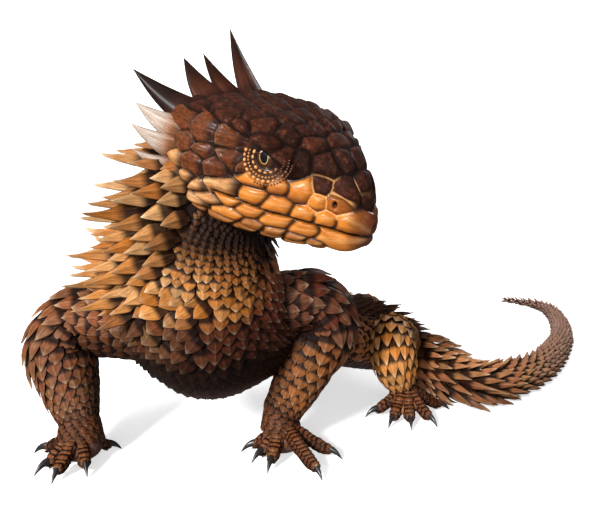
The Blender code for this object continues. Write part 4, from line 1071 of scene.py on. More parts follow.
def horn_form(middles, widths, thicks, wide_way, columns, ridge=0.0):
    """Points and faces of a tapered horn along its middles, closed at both ends."""
    ahead = unit(np.gradient(middles, axis=0))
    side = unit(wide_way - (ahead @ wide_way)[:, None] * ahead)
    turn = np.arange(columns) * ROUND / columns
    crest = np.sin(turn) * (1.0 + ridge * np.maximum(0.0, np.sin(turn)) ** 8)
    ring = (np.cos(turn)[None, :, None] * side[:, None] * widths[:, None, None]
            + crest[None, :, None] * np.cross(ahead, side)[:, None] * thicks[:, None, None])
    ends = [middles[:1], middles[-1:] + ahead[-1:] * 0.02]
    points = (middles[:, None] + ring).reshape(-1, 3)
    return np.concatenate([points] + ends), tube_faces(len(middles), columns)


claw = Finish("claw_black_horn")
fleck, grain = claw.noise(300.0), claw.noise(1400.0, 2.0)
claw.set(Base_Color=claw.mix(fleck, colour(0.006, 0.005, 0.006), colour(0.03, 0.022, 0.02)),
         Roughness=0.3 + 0.14 * grain, Coat_Weight=0.25, Coat_Roughness=0.2,
         Normal=claw.bump(grain, 0.05, 0.0001))
shares = np.linspace(0.0, 1.0, 22)
slim = CLAW_REACH * (1.0 - shares ** 1.5) ** 0.85 + CLAW_BLUNT
for name, leg in LEGS.items():
    foot = "_".join(reversed(name.split("_")))
    for number, (toe, form) in enumerate(zip(leg["toes"], toes[name]), 1):
        way = unit(toe_way(leg, toe))
        line = form.middles[-1] + way * ((CLAW_LENGTH + CLAW_SUNK) * shares - CLAW_SUNK)[:, None]
        line[:, 2] += CLAW_DROP * shares ** 2 + 4.0 * CLAW_ARCH * shares * (1.0 - shares)
        piece = mesh_of(f"{foot}_horn_{number}",
                        *horn_form(line, slim * CLAW_FLATNESS, slim, np.cross(way, UP), 20))
        dress(piece, claw, [f"{foot}_claw_{number}"])

# The head is one skin with horny plates let into it: long lip shields, small loreal
# and nasal plates, big rough plates over the crown and lapped shields on the temple.
# The lids are the same skin, drawn over the glass eyes and open in front of them.
# The head's table gives place forward, half width, and reach to crown and throat.
HEAD = (
    (-2.0, 17.0, 11.4, 12.0), (4.0, 19.2, 12.8, 13.5), (10.0, 19.6, 13.2, 14.0),
    (16.0, 18.6, 13.6, 14.8), (22.0, 17.0, 13.6, 14.8), (28.0, 14.8, 12.8, 14.6),
    (33.0, 12.0, 11.4, 14.2), (38.0, 9.4, 9.0, 13.7), (42.0, 7.0, 6.0, 13.1),
    (45.0, 5.0, 2.6, 12.3), (46.8, 2.9, -1.4, 10.6),
)
HEAD_REAR, HEAD_FRONT = HEAD[0][0], HEAD[-1][0]
HEAD_OUTLINE = ((0.0, 1.0), (0.30, 0.99), (0.58, 0.94), (0.82, 0.78), (0.93, 0.42), (1.0, 0.05),
                (1.0, -0.33), (0.95, -0.61), (0.85, -0.83), (0.58, -0.97), (0.2, -1.0), (0.0, -1.0))
PLACES_ROUND = 2.0 * (len(HEAD_OUTLINE) - 1)
SNOUT_CROWN, SNOUT_DROP = 4.6, 0.7
SNOUT_LEAN, SNOUT_LEAN_FROM, SNOUT_LEAN_TO = 0.26, 24.0, 36.0
SNOUT_CAP, SNOUT_ROUND, REAR_CAP = 1.8, 0.5, 1.5
HEAD_GRAIN, HEAD_COLUMNS = 0.24, 420
MOUTH_LINE = ((16.0, -4.7), (22.0, -5.1), (26.0, -5.7), (30.0, -6.3), (34.0, -6.5), (38.0, -6.8),
              (42.0, -7.1), (49.0, -8.2))
MOUTH_CORNER = 16.0

# Plates of one side, given one by one: place forward and place round the half
# outline, half length, half height, and tone.
PLATES = [
    (25.3, 5.75, 3.4, 1.5, "lip"), (31.0, 5.95, 3.1, 1.6, "lip"), (36.3, 6.1, 2.6, 1.6, "lip"),
    (40.6, 6.2, 2.2, 1.6, "lip"), (46.2, 6.0, 3.8, 2.6, "lip"),
    (20.0, 6.35, 2.6, 1.3, "lip"), (24.6, 6.65, 3.0, 1.4, "lip"), (30.6, 6.95, 3.2, 1.4, "lip"),
    (36.4, 7.2, 3.0, 1.4, "lip"), (43.8, 7.9, 4.6, 2.7, "lip"),
    (15.5, 6.6, 3.2, 1.2, "tan"), (11.0, 7.2, 2.8, 1.1, "tan"), (9.5, 7.9, 3.0, 1.2, "chin"),
    (19.6, 7.1, 3.4, 1.5, "lip"), (25.8, 7.5, 2.6, 1.4, "chin"), (30.3, 7.7, 2.6, 1.4, "chin"),
    (34.6, 7.95, 2.5, 1.4, "chin"), (38.7, 8.3, 2.6, 1.4, "chin"),
    (17.0, 7.85, 3.2, 1.3, "chin"), (23.0, 8.2, 3.0, 1.4, "chin"), (28.5, 8.4, 2.8, 1.4, "chin"),
    (33.5, 8.7, 2.8, 1.5, "chin"), (39.0, 9.1, 3.0, 1.6, "chin"), (42.0, 9.7, 2.6, 1.5, "chin"),
    (25.4, 5.0, 3.2, 1.5, "lip"), (30.8, 5.1, 2.3, 1.5, "lip"), (35.3, 4.95, 2.7, 2.7, "lip"),
    (38.8, 5.4, 1.7, 2.0, "lip"), (43.2, 5.2, 2.9, 2.7, "nose"), (38.6, 4.45, 2.3, 2.2, "bridge"),
    (43.4, 4.25, 3.0, 3.0, "bridge"), (38.0, 3.3, 3.0, 2.4, "crown"), (33.5, 3.95, 1.9, 3.4, "dark"),
    (30.3, 3.75, 1.9, 2.4, "brown"), (26.8, 3.25, 2.8, 1.5, "brown"), (28.8, 2.6, 3.2, 2.2, "dark"),
    (23.4, 2.5, 3.0, 2.1, "brown"), (19.0, 3.0, 1.9, 1.5, "brown"), (33.2, 2.4, 2.6, 2.4, "brown"),
    (3.0, 3.45, 3.4, 2.6, "rust"), (9.3, 3.6, 3.3, 2.5, "rust"), (17.8, 3.65, 2.7, 2.0, "rust"),
    (0.5, 4.5, 2.7, 2.4, "rust"), (5.6, 4.3, 2.8, 2.5, "rust"), (11.6, 4.45, 2.8, 1.5, "rust"),
    (18.8, 4.5, 2.6, 2.2, "rust"), (16.6, 4.95, 2.8, 2.1, "rust"), (9.2, 5.1, 3.1, 2.3, "rust"),
    (3.2, 5.3, 3.0, 1.9, "tan"), (1.5, 6.1, 3.8, 2.0, "pale"), (7.8, 5.85, 2.2, 1.2, "tan"),
    (11.6, 6.1, 2.2, 1.2, "tan"), (19.3, 5.7, 3.4, 1.8, "tan"), (3.8, 7.3, 2.9, 1.7, "pale"),
    (22.2, 4.7, 1.6, 1.5, "rust"), (46.0, 0.0, 1.5, 1.9, "bridge"),
]
# Rows of rounder plates over the crown and under the throat: first and last place
# round the outline, first and last place forward, spacing, and tone.
PLATE_ROWS = ((0.0, 2.75, -1.0, 22.0, 4.8, "crown"), (0.0, 2.0, 25.5, 46.0, 4.8, "crown"),
              (9.3, 11.0, -1.0, 43.0, 3.4, "under"), (8.4, 8.4, -0.5, 7.0, 3.0, "under"))
# What each tone of plate carries: its five marks, then its dome, the lift of its rear
# edge, and its keel.
TONES = {
    "lip": (1.0, 0.18, 0.0, 0.0, 0.04, 0.8, 0.1, 0.0),
    "tan": (0.6, 0.35, 0.0, 0.0, 0.4, 0.8, 0.4, 0.1),
    "pale": (0.45, 0.45, 0.15, 0.1, 0.35, 0.85, 0.5, 0.25),
    "chin": (0.75, 0.3, 0.2, 0.0, 0.05, 0.6, 0.1, 0.0),
    "rust": (0.35, 0.6, 0.4, 0.0, 0.0, 0.45, 0.9, 0.3),
    "brown": (0.1, 0.7, 0.62, 0.0, 0.0, 0.75, 0.25, 0.0),
    "crown": (0.05, 0.8, 0.76, 0.02, 0.0, 0.8, 0.35, 0.0),
    "dark": (0.0, 0.3, 0.88, 0.02, 0.0, 0.75, 0.2, 0.0),
    "under": (0.1, 0.3, 0.8, 0.05, 0.0, 0.3, 0.3, 0.0),
    "bridge": (0.1, 0.85, 0.72, 0.0, 0.0, 0.3, 0.0, 0.0),
    "nose": (0.75, 0.45, 0.05, 0.0, 0.0, 0.3, 0.0, 0.0),
}
GROOVE_WIDTH, GROOVE_DEPTH, PILLOW_EDGE, PLATE_SINK = 0.55, 0.3, 1.25, 0.5
MOUTH_DEPTH, PLATE_ENDS = 0.8, 1.3
HIGH_DOME, HIGH_DOME_EDGE = 0.78, 1.875
SNOUT_PLATES = 43.0

# The eye as seen from half in front of it, with the sight line, the way to the right
# and the way up: the middle and reach of the opening between the lids, the line of
# the brow that cuts across it, and how far the brow hangs over.
SIGHT = np.array((0.636, -0.713, 0.296))
SIGHT_RIGHT, SIGHT_UP = np.array((0.714, 0.689, 0.127)), np.array((-0.294, 0.130, 0.947))
OPENING_MIDDLE, OPENING_REACH = (-0.95, -0.35), (2.45, 2.6)
BROW_RISE, BROW_SLOPE = -0.4, -0.9
LID_RADIUS, SOCKET_RADIUS, BROW_HANG = 4.85, 3.3, 1.9
LID_REACH = 5.5
NOSTRIL_FORWARD, NOSTRIL_PLACE, NOSTRIL_REACH, NOSTRIL_DEPTH = 42.1, 5.4, (0.55, 0.85), 1.0

half_outline = np.array(HEAD_OUTLINE)
full_outline = np.concatenate([half_outline, half_outline[-2:0:-1] * (-1.0, 1.0)])
fine_rows = curve_through(HEAD, np.linspace(0.0, len(HEAD) - 1, 400))


def head_at(forward, place):
    """Points of the bare head. Place runs from the crown down the right side, under
    the throat and up the left side."""
    half_width, crown, under = (np.interp(forward, fine_rows[:, 0], row) for row in fine_rows[:, 1:].T)
    start = np.floor(place).astype(int)
    four = [full_outline[(start + step) % len(full_outline)] for step in (-1, 0, 1, 2)]
    side, up = np.moveaxis(curved(four, (place - start)[..., None]), -1, 0)
    widest = np.minimum(0.0, (crown - SNOUT_CROWN) * SNOUT_DROP)
    lean = SNOUT_LEAN * ease(forward, SNOUT_LEAN_FROM, SNOUT_LEAN_TO)
    high = widest + up * np.where(up > 0, crown - widest, under + widest)
    beyond = np.maximum(forward - HEAD_FRONT, 0.0)
    round_off = np.clip(1.0 - beyond / SNOUT_CAP, 0.0, 1.0) ** SNOUT_ROUND
    end_middle = (HEAD[-1][2] - HEAD[-1][3]) / 2
    wide = -side * half_width * (1.0 - lean * np.maximum(0.0, up)) * round_off
    high = np.where(beyond > 0, end_middle + (high - end_middle) * round_off, high)
    return np.stack([forward, wide, high], -1)


def head_frame(forward, place):
    """Root, way forward, way round and way out at places of the head."""
    ahead = unit(head_at(np.minimum(forward + 0.3, 48.2), place) - head_at(forward - 0.3, place))
    round_way = head_at(forward, place + 0.05) - head_at(forward, place - 0.05)
    round_way = unit(round_way - (round_way * ahead).sum(-1, keepdims=True) * ahead)
    return head_at(forward, place), ahead, round_way, unit(np.cross(round_way, ahead))


for first, last, rear, front, spacing, tone in PLATE_ROWS:
    for row in range(int((front - rear) / spacing) + 1):
        forward = rear + spacing * row
        ring = head_at(np.full(30, forward), np.linspace(first, last, 30))
        across = max(1, int(round(lengths_along(ring)[-1] / (spacing * 0.92))))
        for column in range(across):
            share = (column + 0.5 * (row % 2) + draw.uniform(-0.12, 0.12)) / across
            PLATES.append((forward + draw.uniform(-0.35, 0.35), first + (last - first) * share,
                           spacing * 0.52, spacing * 0.5, tone))

# Each plate grows from a seed on both sides. At the snout's end the two of a pair are
# one plate, and those on the middle line have no other.
seeds, seed_names = [], []
for number, (forward, place, half_length, half_height, tone) in enumerate(PLATES):
    on_middle = place < 0.12 or place > 10.9
    for side, where in enumerate([place] if on_middle else [place, PLACES_ROUND - place]):
        plate = number if forward > SNOUT_PLATES else -2 * number - side
        seeds.append((forward, where, half_length, half_height, plate) + TONES[tone])
        seed_names.append(tone)
seeds = np.array(seeds)
seed_forward, seed_place, seed_half, seed_plate = seeds[:, 0], seeds[:, 1], seeds[:, 2:4], seeds[:, 4]
seed_root, seed_ahead, seed_round, seed_out = head_frame(seed_forward, seed_place)
seed_chance = draw.random(len(seeds))


def over_mouth(points):
    """How far points lie over the mouth line."""
    return points[..., 2] - np.interp(points[..., 0], *zip(*MOUTH_LINE))


def from_eye(points, flip):
    """Points from the middle of their own side's eye, with the left side mirrored."""
    return points * flip - RIGHT_EYE


rings_forward = np.concatenate([np.arange(HEAD_REAR, HEAD_FRONT, HEAD_GRAIN),
                                HEAD_FRONT + SNOUT_CAP * np.sin(np.linspace(0.0, math.pi / 2, 12)[:-1]),
                                [HEAD_FRONT + SNOUT_CAP * 0.9995]])
rings = len(rings_forward)
fine_places = np.linspace(0.0, PLACES_ROUND, 1761)
fine_lengths = lengths_along(head_at(np.full(1761, 20.0), fine_places))
columns = np.interp(np.arange(HEAD_COLUMNS) / HEAD_COLUMNS * fine_lengths[-1], fine_lengths, fine_places)
ring_forward, ring_place = np.meshgrid(rings_forward, columns, indexing="ij")
bare, _, _, bare_out = head_frame(ring_forward.ravel(), ring_place.ravel())
forward, high = bare[:, 0], bare[:, 2]
in_mouth = forward > MOUTH_CORNER
best, nearest, second = np.zeros(len(bare), int), np.empty(len(bare)), np.empty(len(bare))
for start in range(0, len(bare), 16000):
    some = slice(start, start + 16000)
    offset = bare[some, None] - seed_root[None]
    distance = np.sqrt(((offset * seed_ahead).sum(-1) / seed_half[:, 0]) ** 2
                       + ((offset * seed_round).sum(-1) / seed_half[:, 1]) ** 2
                       + ((offset * seed_out).sum(-1) / seed_half[:, 1]) ** 2)
    parted = (over_mouth(bare[some]) > 0)[:, None] != (over_mouth(seed_root) > 0)[None]
    distance += 50.0 * (parted & in_mouth[some, None] & (seed_forward > MOUTH_CORNER - 2.0)[None])
    order = np.argpartition(distance, 2, axis=1)[:, :3]
    order = np.take_along_axis(order, np.argsort(np.take_along_axis(distance, order, 1), axis=1), 1)
    near = np.take_along_axis(distance, order, 1)
    twins = seed_plate[order[:, 0]] == seed_plate[order[:, 1]]
    best[some], nearest[some] = order[:, 0], near[:, 0]
    second[some] = np.where(twins, near[:, 2], near[:, 1])
half, chance = seed_half[best], seed_chance[best]
dome, rear_lift, keel = seeds[best, 10:].T
from_edge = (np.minimum(second, 9.0) - nearest) * 0.5 * np.sqrt(half[:, 0] * half[:, 1])
gape = np.abs(over_mouth(bare))
from_edge = np.where(in_mouth, np.minimum(from_edge, gape), from_edge)
groove = past(from_edge, 0.05, GROOVE_WIDTH)
edge = np.where(dome > HIGH_DOME, HIGH_DOME_EDGE, PILLOW_EDGE)
pillow = 1.0 - (1.0 - np.clip(from_edge / edge, 0.0, 1.0)) ** 2
offset = bare - seed_root[best]
along_plate = np.clip((offset * seed_ahead[best]).sum(-1) / half[:, 0], -PLATE_ENDS, PLATE_ENDS)
round_plate = np.clip((offset * seed_round[best]).sum(-1) / half[:, 1], -PLATE_ENDS, PLATE_ENDS)
height = (pillow * dome * (0.8 + 0.45 * chance) - along_plate * rear_lift * (1.0 - groove)
          + keel * np.maximum(0.0, 1.0 - np.abs(round_plate) / 0.4) * pillow - GROOVE_DEPTH * groove)
height -= MOUTH_DEPTH * past(gape, 0.0, 0.5) * in_mouth * (1.0 - 0.6 * ease(forward, 46.0, 48.0))

# Lids, brow and nostril are worked into the same skin.
flip = np.where(bare[:, 1:2] > 0, -1.0, 1.0) * (0.0, 1.0, 0.0) + (1.0, 0.0, 1.0)
eye_offset = from_eye(bare, flip)
right, up, facing = eye_offset @ SIGHT_RIGHT, eye_offset @ SIGHT_UP, eye_offset @ SIGHT > 0.0
opening_right, opening_up = right - OPENING_MIDDLE[0], up - OPENING_MIDDLE[1]
from_opening = np.hypot(opening_right, opening_up)
under_brow = BROW_RISE + BROW_SLOPE * right - up
lid_share = past(from_opening, LID_REACH - 0.5, LID_REACH + 0.3) * facing * ease(under_brow, -0.5, 0.1)
off_lid = 1.0 - lid_share
height = height * off_lid + (PLATE_SINK - 0.25) * lid_share
hang = BROW_HANG * ease(-under_brow, -0.15, 0.5) * past(-under_brow, 1.6, 5.0)
hang *= past(np.hypot(right, up), 4.4, 7.6) * facing
skin = bare + bare_out * (height - PLATE_SINK + hang)[:, None]
eye_offset = from_eye(skin, flip)
eye_distance = np.linalg.norm(eye_offset, axis=1)
oval = np.hypot(opening_right / OPENING_REACH[0], opening_up / OPENING_REACH[1])
opened = ease(1.0 - oval, 0.0, 0.12) * ease(under_brow, 0.0, 0.3) * facing
pushed = np.maximum(eye_distance, LID_RADIUS + 0.5 * hang) * (1.0 - opened) + SOCKET_RADIUS * opened
pulled = (eye_offset * (pushed / eye_distance)[:, None] + RIGHT_EYE) * flip
skin = np.where((eye_distance < 8.0)[:, None], pulled, skin)
nostril_dark, nostril_rim = np.zeros(len(bare)), np.zeros(len(bare))
for place in (NOSTRIL_PLACE, PLACES_ROUND - NOSTRIL_PLACE):
    root, ahead, round_way, out = head_frame(np.array([NOSTRIL_FORWARD]), np.array([place]))
    offset = bare - root
    oval = np.hypot(offset @ ahead[0] / NOSTRIL_REACH[0], offset @ round_way[0] / NOSTRIL_REACH[1])
    oval = np.where(np.linalg.norm(offset, axis=1) < 4.0, oval, 9.0)
    pit = past(oval, 0.65, 1.15)
    skin += bare_out * (0.16 * ease(oval, 0.8, 1.2) * past(oval, 1.3, 2.4) - NOSTRIL_DEPTH * pit)[:, None]
    nostril_dark = np.maximum(nostril_dark, pit)
    nostril_rim = np.maximum(nostril_rim, ease(oval, 0.9, 1.3) * past(oval, 1.5, 3.2))

tone_names = np.array(seed_names)[best]
downward = round_plate * np.where(seed_place[best] > 11.0, -1.0, 1.0)
head_marks = dict(zip(MARKS, seeds[best, 5:10].T * (0.8 + 0.3 * chance)))


def at_least(mark, value):
    head_marks[mark] = np.maximum(head_marks[mark], value)


def of_tones(*names):
    return np.isin(tone_names, names)


lips = of_tones("lip", "tan", "chin", "pale")
snout_end = ease(forward, 43.5, 48.0)
# Painted shade and highlight on the lip plates: redder and darker towards their lower edge, with a pale
# band across their upper part. The snout's end is redder.
at_least("red", 0.75 * lips * ease(downward, 0.1, 1.1))
at_least("red", 0.95 * snout_end)
head_marks["pale"] += 0.28 * lips * past(np.abs(downward + 0.42), 0.0, 0.4)
at_least("ochre", nostril_rim)
at_least("dark", 0.35 * lips * ease(downward, 0.5, 1.2))
at_least("dark", 0.85 * of_tones("nose", "bridge") * ease(-downward, -0.5, 0.9))
head_marks["dark"] *= off_lid
at_least("dark", 0.95 * lid_share * (1.0 - 0.15 * ease(from_opening, 3.5, 5.5)))
# Painted shade fills the nostril pits.
at_least("dark", nostril_dark)
# Painted shadow along the overhanging brow over the eye.
at_least("dark", 0.95 * np.minimum(1.0, 1.6 * hang / BROW_HANG) * past(-under_brow, 0.5, 2.2))
# Painted shade darkens the snout's end.
at_least("dark", 0.4 * snout_end)
at_least("dark", 0.85 * ease(forward, 42.0, 47.0) * past(-high, 0.0, 6.0))
# Painted shade on the front part of each lapped plate, where the plate in front laps over it.
lapped = of_tones("rust", "tan", "pale", "brown", "crown") * off_lid
at_least("dark", 0.88 * ease(along_plate, 0.0, 0.9) * lapped)
seamed = ease(forward, 35.5, 37.0) * past(forward, 44.6, 46.0)
seamed *= ease(high, -5.2, -4.4) * past(high, 3.6, 5.0)
# Painted highlight, partly wear, along the rear edges of the temple plates.
edge_wear_and_highlight = past(np.abs(from_edge - 0.5), 0.0, 0.3) * ease(-along_plate, 0.1, 0.6)
head_marks.update({
    "groove": groove * off_lid * (1.0 - seamed), "mouth": past(gape, 0.14, 0.42) * in_mouth,
    "seam": past(from_edge, 0.06, 0.2) * seamed * (1.0 - nostril_dark),
    "worn": 0.2 * edge_wear_and_highlight * of_tones("rust", "tan", "pale") * off_lid,
    "along": 0.5 - 0.5 * along_plate, "across": round_plate, "chance": chance,
    "rough": np.clip(1.0 - head_marks["ochre"] - 0.5 * head_marks["pale"], 0.0, 1.0)})
front_end = head_at(np.array([HEAD_FRONT + SNOUT_CAP]), np.array([0.0]))
head_shape = np.concatenate([skin, [[HEAD_REAR - REAR_CAP, 0.0, 0.0]], front_end])
head_faces = tube_faces(rings, HEAD_COLUMNS)
head_piece = mesh_of("head_skin", in_head(head_shape), head_faces)
for name, value in head_marks.items():
    carry(head_piece, {name: np.concatenate([value, value[:1], value[-1:]])})

plated, fleck = marked_finish("head_plates")
rough = plated.mark("rough")
pits = plated.node("ShaderNodeTexVoronoi", {"feature": "SMOOTH_F1"},
                   {"Vector": plated.place(), "Scale": 1300.0, "Smoothness": 0.4})
grain = plated.noise(700.0, 5.0, 0.7)
fibre = plated.fibres(2.4, 6.0, 0.7, plated.mark("across") * 8.0, plated.mark("along") * 1.3,
                      plated.mark("chance") * 60.0)
dark_fibre = 1.0 - plated.smooth(fibre, 0.40, 0.56)
plated.over(dark_fibre * (0.34 + 0.56 * rough), plated.mix(0.88, plated.ground, BLACK))
plated.over(plated.smooth(grain, 0.5, 0.72) * 0.38 * rough, colour(0.30, 0.085, 0.035))
plated.over(plated.smooth(pits, 0.3, 0.7) * 0.5 * rough, BLACK)
# Painted highlight, partly wear, on the plates' rear edges.
plated.over(plated.mark("worn") * 0.5, HIGHLIGHT_AND_WEAR)
plated.over(plated.mark("groove") * 0.95, BLACK)
plated.over(plated.mark("seam") * 0.55, colour(0.80, 0.42, 0.16))
plated.over(plated.mark("mouth") * 0.96, BLACK)
plated.set(Base_Color=plated.ground, Roughness=0.27 + 0.40 * rough + 0.1 * fleck,
           Coat_Weight=0.22 - 0.21 * rough, Coat_Roughness=0.22, Specular_IOR_Level=0.1,
           Normal=plated.bump(grain * 0.4 + pits * 0.3 + fibre, 0.14 + 0.75 * rough, 0.00035))
dress(head_piece, plated, ["head", "jaw"])

# Ten horns crown the rear of the head: four long dark ones behind the crown and
# three pale ones at each temple, blade-like with a ridge, rooted under the plates.
HEAD_SPINES = (
    ((0.1, 9.6, 9.6), (-14.9, 12.2, 24.4), 5.0, "dark"),
    ((0.4, -12.0, 7.9), (-15.2, -17.9, 15.2), 4.0, "black"),
    ((-0.7, 2.7, 10.1), (-13.3, 2.1, 18.7), 4.4, "dark"),
    ((-0.7, -4.5, 9.9), (-11.5, -5.7, 18.2), 4.4, "dark"),
    ((1.0, -15.2, 4.4), (-10.6, -20.4, 8.6), 3.7, "pale"),
    ((1.0, -16.2, 0.2), (-9.7, -22.0, 3.8), 3.7, "pale"),
    ((1.0, -16.2, -4.4), (-8.2, -22.5, -1.9), 3.4, "pale"),
    ((1.0, 15.2, 4.6), (-10.0, 20.6, 8.8), 3.7, "pale"),
    ((1.0, 16.2, 0.0), (-9.9, 22.0, 3.6), 3.7, "pale"),
    ((1.0, 16.2, -4.6), (-8.6, 22.4, -2.1), 3.4, "pale"),
)
SPINE_FLATNESS, SPINE_BOW, SPINE_SUNK, SPINE_BLUNT = 0.52, 0.8, 1.6, 0.04
SPINE_RINGS, SPINE_COLUMNS = 34, 40

shares = np.linspace(0.0, 1.0, SPINE_RINGS)
along = np.append(np.repeat(shares, SPINE_COLUMNS), (0.0, 1.0))
turn = np.append(np.tile(np.arange(SPINE_COLUMNS) * ROUND / SPINE_COLUMNS, SPINE_RINGS), (0.0, 0.0))
rooted, dark_tip = past(along, 0.12, 0.6), 0.5 * ease(along, 0.1, 0.75)
SPINE_MARKS = {
    "pale": {"ochre": 0.5 * rooted, "red": 0.25 * rooted, "dark": 0.25 * ease(along, 0.85, 1.0),
             "mauve": 0.15, "pale": 0.15, "bone": ease(along, 0.2, 0.55)},
    "dark": {"ochre": 0.0, "red": 0.75 * rooted, "dark": np.clip(0.38 + dark_tip, 0.0, 0.96),
             "mauve": 0.1 * rooted, "pale": 0.0, "bone": 0.0},
}
SPINE_MARKS["black"] = {**SPINE_MARKS["dark"], "dark": np.clip(0.73 + dark_tip, 0.0, 0.96)}
spine_parts, spine_values, spine_unwrap = [], [], []
for number, (root, tip, half_width, tone) in enumerate(HEAD_SPINES):
    root, tip = np.array(root), np.array(tip)
    way = unit(tip - root)
    line = root - way * SPINE_SUNK + (tip - root + way * SPINE_SUNK) * shares[:, None]
    line -= unit(np.array(UP) - way * way[2]) * (SPINE_BOW * np.sin(shares * math.pi))[:, None]
    wide_way = np.cross(way, unit(np.array((0.0, root[1], root[2] * 1.6 + 0.01))))
    slim = half_width * (1.0 - shares ** 1.45)
    points, faces = horn_form(line, slim + SPINE_BLUNT, slim * SPINE_FLATNESS + SPINE_BLUNT, wide_way,
                              SPINE_COLUMNS, ridge=0.5)
    spine_parts.append((in_head(points), faces))
    values = {**SPINE_MARKS[tone], "along": along, "across": np.cos(turn), "turn": np.sin(turn),
              "chance": number / len(HEAD_SPINES)}
    spine_values.append({name: np.full(len(along), value) for name, value in values.items()})
    spine_unwrap.append(np.stack([0.03 + 0.045 * number + turn / ROUND * 0.04, 0.70 + along * 0.12], 1))
spines = mesh_of("head_spines", *joined(spine_parts))
unwrap(spines, np.concatenate(spine_unwrap))
carry(spines, {name: np.concatenate([values[name] for values in spine_values]) for name in spine_values[0]})
spiny, _ = marked_finish("spine_horn")
across, along = spiny.mark("across"), spiny.mark("along")
fibre = spiny.fibres(3.2, 6.0, 0.7, across * 11.0, along * 0.9, spiny.mark("turn") * 11.0)
fine_fibre = spiny.smooth(fibre, 0.46, 0.56)
spiny.over((1.0 - fine_fibre) * 0.85, spiny.mix(0.85, spiny.ground, BLACK))
spiny.over(spiny.mark("bone") * (0.25 + 0.7 * fine_fibre), colour(0.60, 0.51, 0.43))
spiny.over((1.0 - spiny.smooth(along, 0.1, 0.34)) * 0.7, BLACK)
spiny.over(spiny.smooth(across * across, 0.8, 1.0) * 0.35, BLACK)
spiny.set(Base_Color=spiny.ground, Roughness=0.42 + 0.2 * fibre, Specular_IOR_Level=0.06,
          Coat_Weight=0.15, Coat_Roughness=0.25, Normal=spiny.bump(fibre, 0.5, 0.0004))
dress(spines, spiny, ["head"])

# Rows of small granules edge the lids in arcs behind and under each eye. They are
# closed oval beads of horn, half sunk in the skin, ochre where the light falls. An
# arc gives its reach, first and last angle, bead length and height, and brightness.
BEAD_ARCS = (
    (3.05, 142.0, 318.0, 1.05, 0.66, 1.0), (4.05, 150.0, 322.0, 0.66, 0.52, 0.8),
    (4.9, 152.0, 330.0, 0.98, 0.72, 1.0), (5.6, 238.0, 345.0, 0.58, 0.5, 0.45),
    (3.8, 322.0, 352.0, 0.5, 0.42, 0.3), (4.7, 328.0, 356.0, 0.5, 0.42, 0.3),
)
BEAD_LOWER, BEAD_DEPTH, BEAD_SPACING, BEAD_FILL = 0.04, 0.36, 1.08, 0.92
skin_tree = BVHTree.FromPolygons([tuple(point) for point in head_shape], head_faces)
bead_points, bead_faces = ball_form(12, 8)
bead_parts, bead_roots, bead_marks = [], [], []
for side in (1.0, -1.0):
    flip = np.array((1.0, side, 1.0))
    for reach, first, last, length, high, bright in BEAD_ARCS:
        steps = int(round(math.radians(last - first) * reach / (length * BEAD_SPACING)))
        for step in range(steps):
            turned = first + (last - first) * (step + 0.5) / steps
            angle = math.radians(turned)
            stretched = reach * (1.0 + BEAD_LOWER * max(0.0, -math.sin(angle)))
            right = OPENING_MIDDLE[0] + stretched * math.cos(angle)
            up = OPENING_MIDDLE[1] + stretched * math.sin(angle)
            start = RIGHT_EYE + SIGHT_RIGHT * right + SIGHT_UP * up + SIGHT * 20.0
            hit, normal, face, _ = skin_tree.ray_cast(Vector(start * flip), Vector(-SIGHT * flip))
            if hit is None:
                continue
            normal = np.array(normal) * math.copysign(1.0, np.array(normal) @ (SIGHT * flip))
            way = (SIGHT_UP * math.cos(angle) - SIGHT_RIGHT * math.sin(angle)) * flip
            way = unit(way - (way @ normal) * normal)
            slim = 0.5 * length * BEAD_FILL
            tall = 0.5 * high * (0.85 + 0.3 * draw.random())
            local = bead_points * (slim, tall, BEAD_DEPTH)
            local = local @ np.stack([way, np.cross(normal, way), normal])
            bead_parts.append((in_head(np.array(hit) + local), bead_faces))
            root = (0.50 + 0.45 * (face % HEAD_COLUMNS) / HEAD_COLUMNS,
                    0.84 + 0.14 * (face // HEAD_COLUMNS) / rings)
            bead_roots.append(np.array(root) + bead_points[:, :2] * 0.5 * PATCH)
            fade = 1.0 - 0.75 * ease(turned, 262.0, 320.0)
            tone = bright * fade * (0.75 + 0.35 * draw.random())
            bead_marks.append((0.9 * tone, 0.1, 0.75 * (1.0 - tone), 0.0, 0.45 * tone))
beads = mesh_of("lid_granules", *joined(bead_parts))
unwrap(beads, np.concatenate(bead_roots))
carry(beads, dict(zip(MARKS, np.repeat(bead_marks, len(bead_points), axis=0).T)))
beaded, fleck = marked_finish("granule_horn")
beaded.set(Base_Color=beaded.ground, Roughness=0.3 + 0.2 * fleck, Coat_Weight=0.3,
           Normal=beaded.bump(fleck, 0.2, 0.0001))
dress(beads, beaded, ["head"])

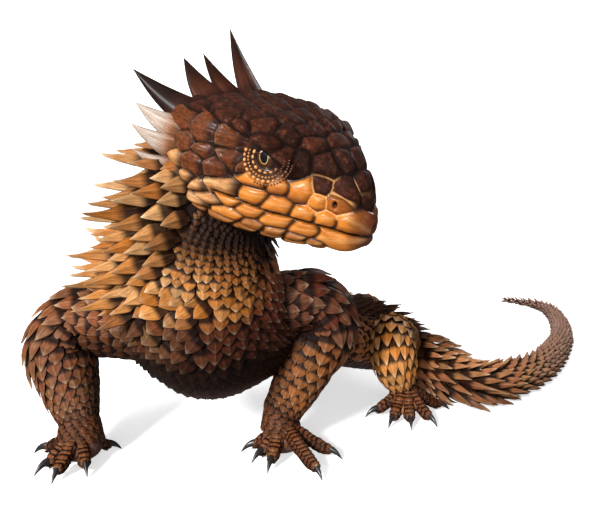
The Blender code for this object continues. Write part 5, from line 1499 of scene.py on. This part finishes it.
# Each eye is a glass ball with a low clear bulge, painted dark brown with an upright
# oval pupil and a thin gold ring that is open at the top.
GAZE_RIGHT, GAZE_UP = -0.395, -0.02
PUPIL_REACH = (0.88, 1.42)
BULGE, BULGE_SPREAD, EYE_SUNK, UNPAINTED = 0.18, 2.6, 0.1, 20.0
eye = Finish("eye_glass")
across, up = eye.mark("across") * (1.0 / PUPIL_REACH[0]), eye.mark("up") * (1.0 / PUPIL_REACH[1])
from_middle = eye.node("ShaderNodeMath", {"operation": "SQRT"}, {0: across * across + up * up})
streak = eye.fibres(2.2, 5.0, 0.65, eye.mark("turn") * 9.0, from_middle * 0.7, 0.0)
eye.ground = colour(0.012, 0.005, 0.004)
eye.over(streak, colour(0.11, 0.035, 0.012))
eye.over(eye.smooth(from_middle, 1.7, 2.5) * 0.8, colour(0.006, 0.004, 0.004))
ring = eye.smooth(from_middle, 0.98, 1.04) * (1.0 - eye.smooth(from_middle, 1.1, 1.2))
ring = ring * (1.0 - eye.smooth(eye.mark("up"), 0.2, 0.9))
eye.over(ring, eye.mix(streak, colour(0.36, 0.23, 0.05), colour(0.62, 0.46, 0.16)))
eye.over(1.0 - eye.smooth(from_middle, 0.94, 1.0), colour(0.0015, 0.0015, 0.002))
eye.set(Base_Color=eye.ground, Roughness=0.16 + 0.08 * streak, Coat_Weight=0.8, Coat_Roughness=0.03,
        Specular_IOR_Level=0.2, Normal=eye.bump(streak, 0.03, 0.00005))
near = math.sqrt(1.0 - GAZE_RIGHT ** 2 - GAZE_UP ** 2)
gaze = unit(SIGHT_RIGHT * GAZE_RIGHT + SIGHT_UP * GAZE_UP + SIGHT * near)
right = unit(SIGHT_RIGHT - (SIGHT_RIGHT @ gaze) * gaze)
up = np.cross(gaze, right)
up *= math.copysign(1.0, up @ SIGHT_UP)
shell, shell_faces = ball_form(128, 96)
bulge = BULGE * past(EYE_REACH * np.hypot(shell[:, 0], shell[:, 1]), 0.4 * BULGE_SPREAD, BULGE_SPREAD)
reach = EYE_REACH - EYE_SUNK + bulge * (shell[:, 2] > 0)
points = RIGHT_EYE + shell @ np.stack([right, up, gaze]) * reach[:, None]
eye_marks = {"across": EYE_REACH * shell[:, 0] + UNPAINTED * (shell[:, 2] < 0),
             "up": EYE_REACH * shell[:, 1], "turn": np.abs(np.arctan2(shell[:, 0], shell[:, 1]))}
for name, side in (("right", 1.0), ("left", -1.0)):
    ball = mesh_of(f"glass_eye_{name}", in_head(points * (1.0, side, 1.0)), shell_faces)
    carry(ball, eye_marks)
    dress(ball, eye, [f"eye_{name}"])
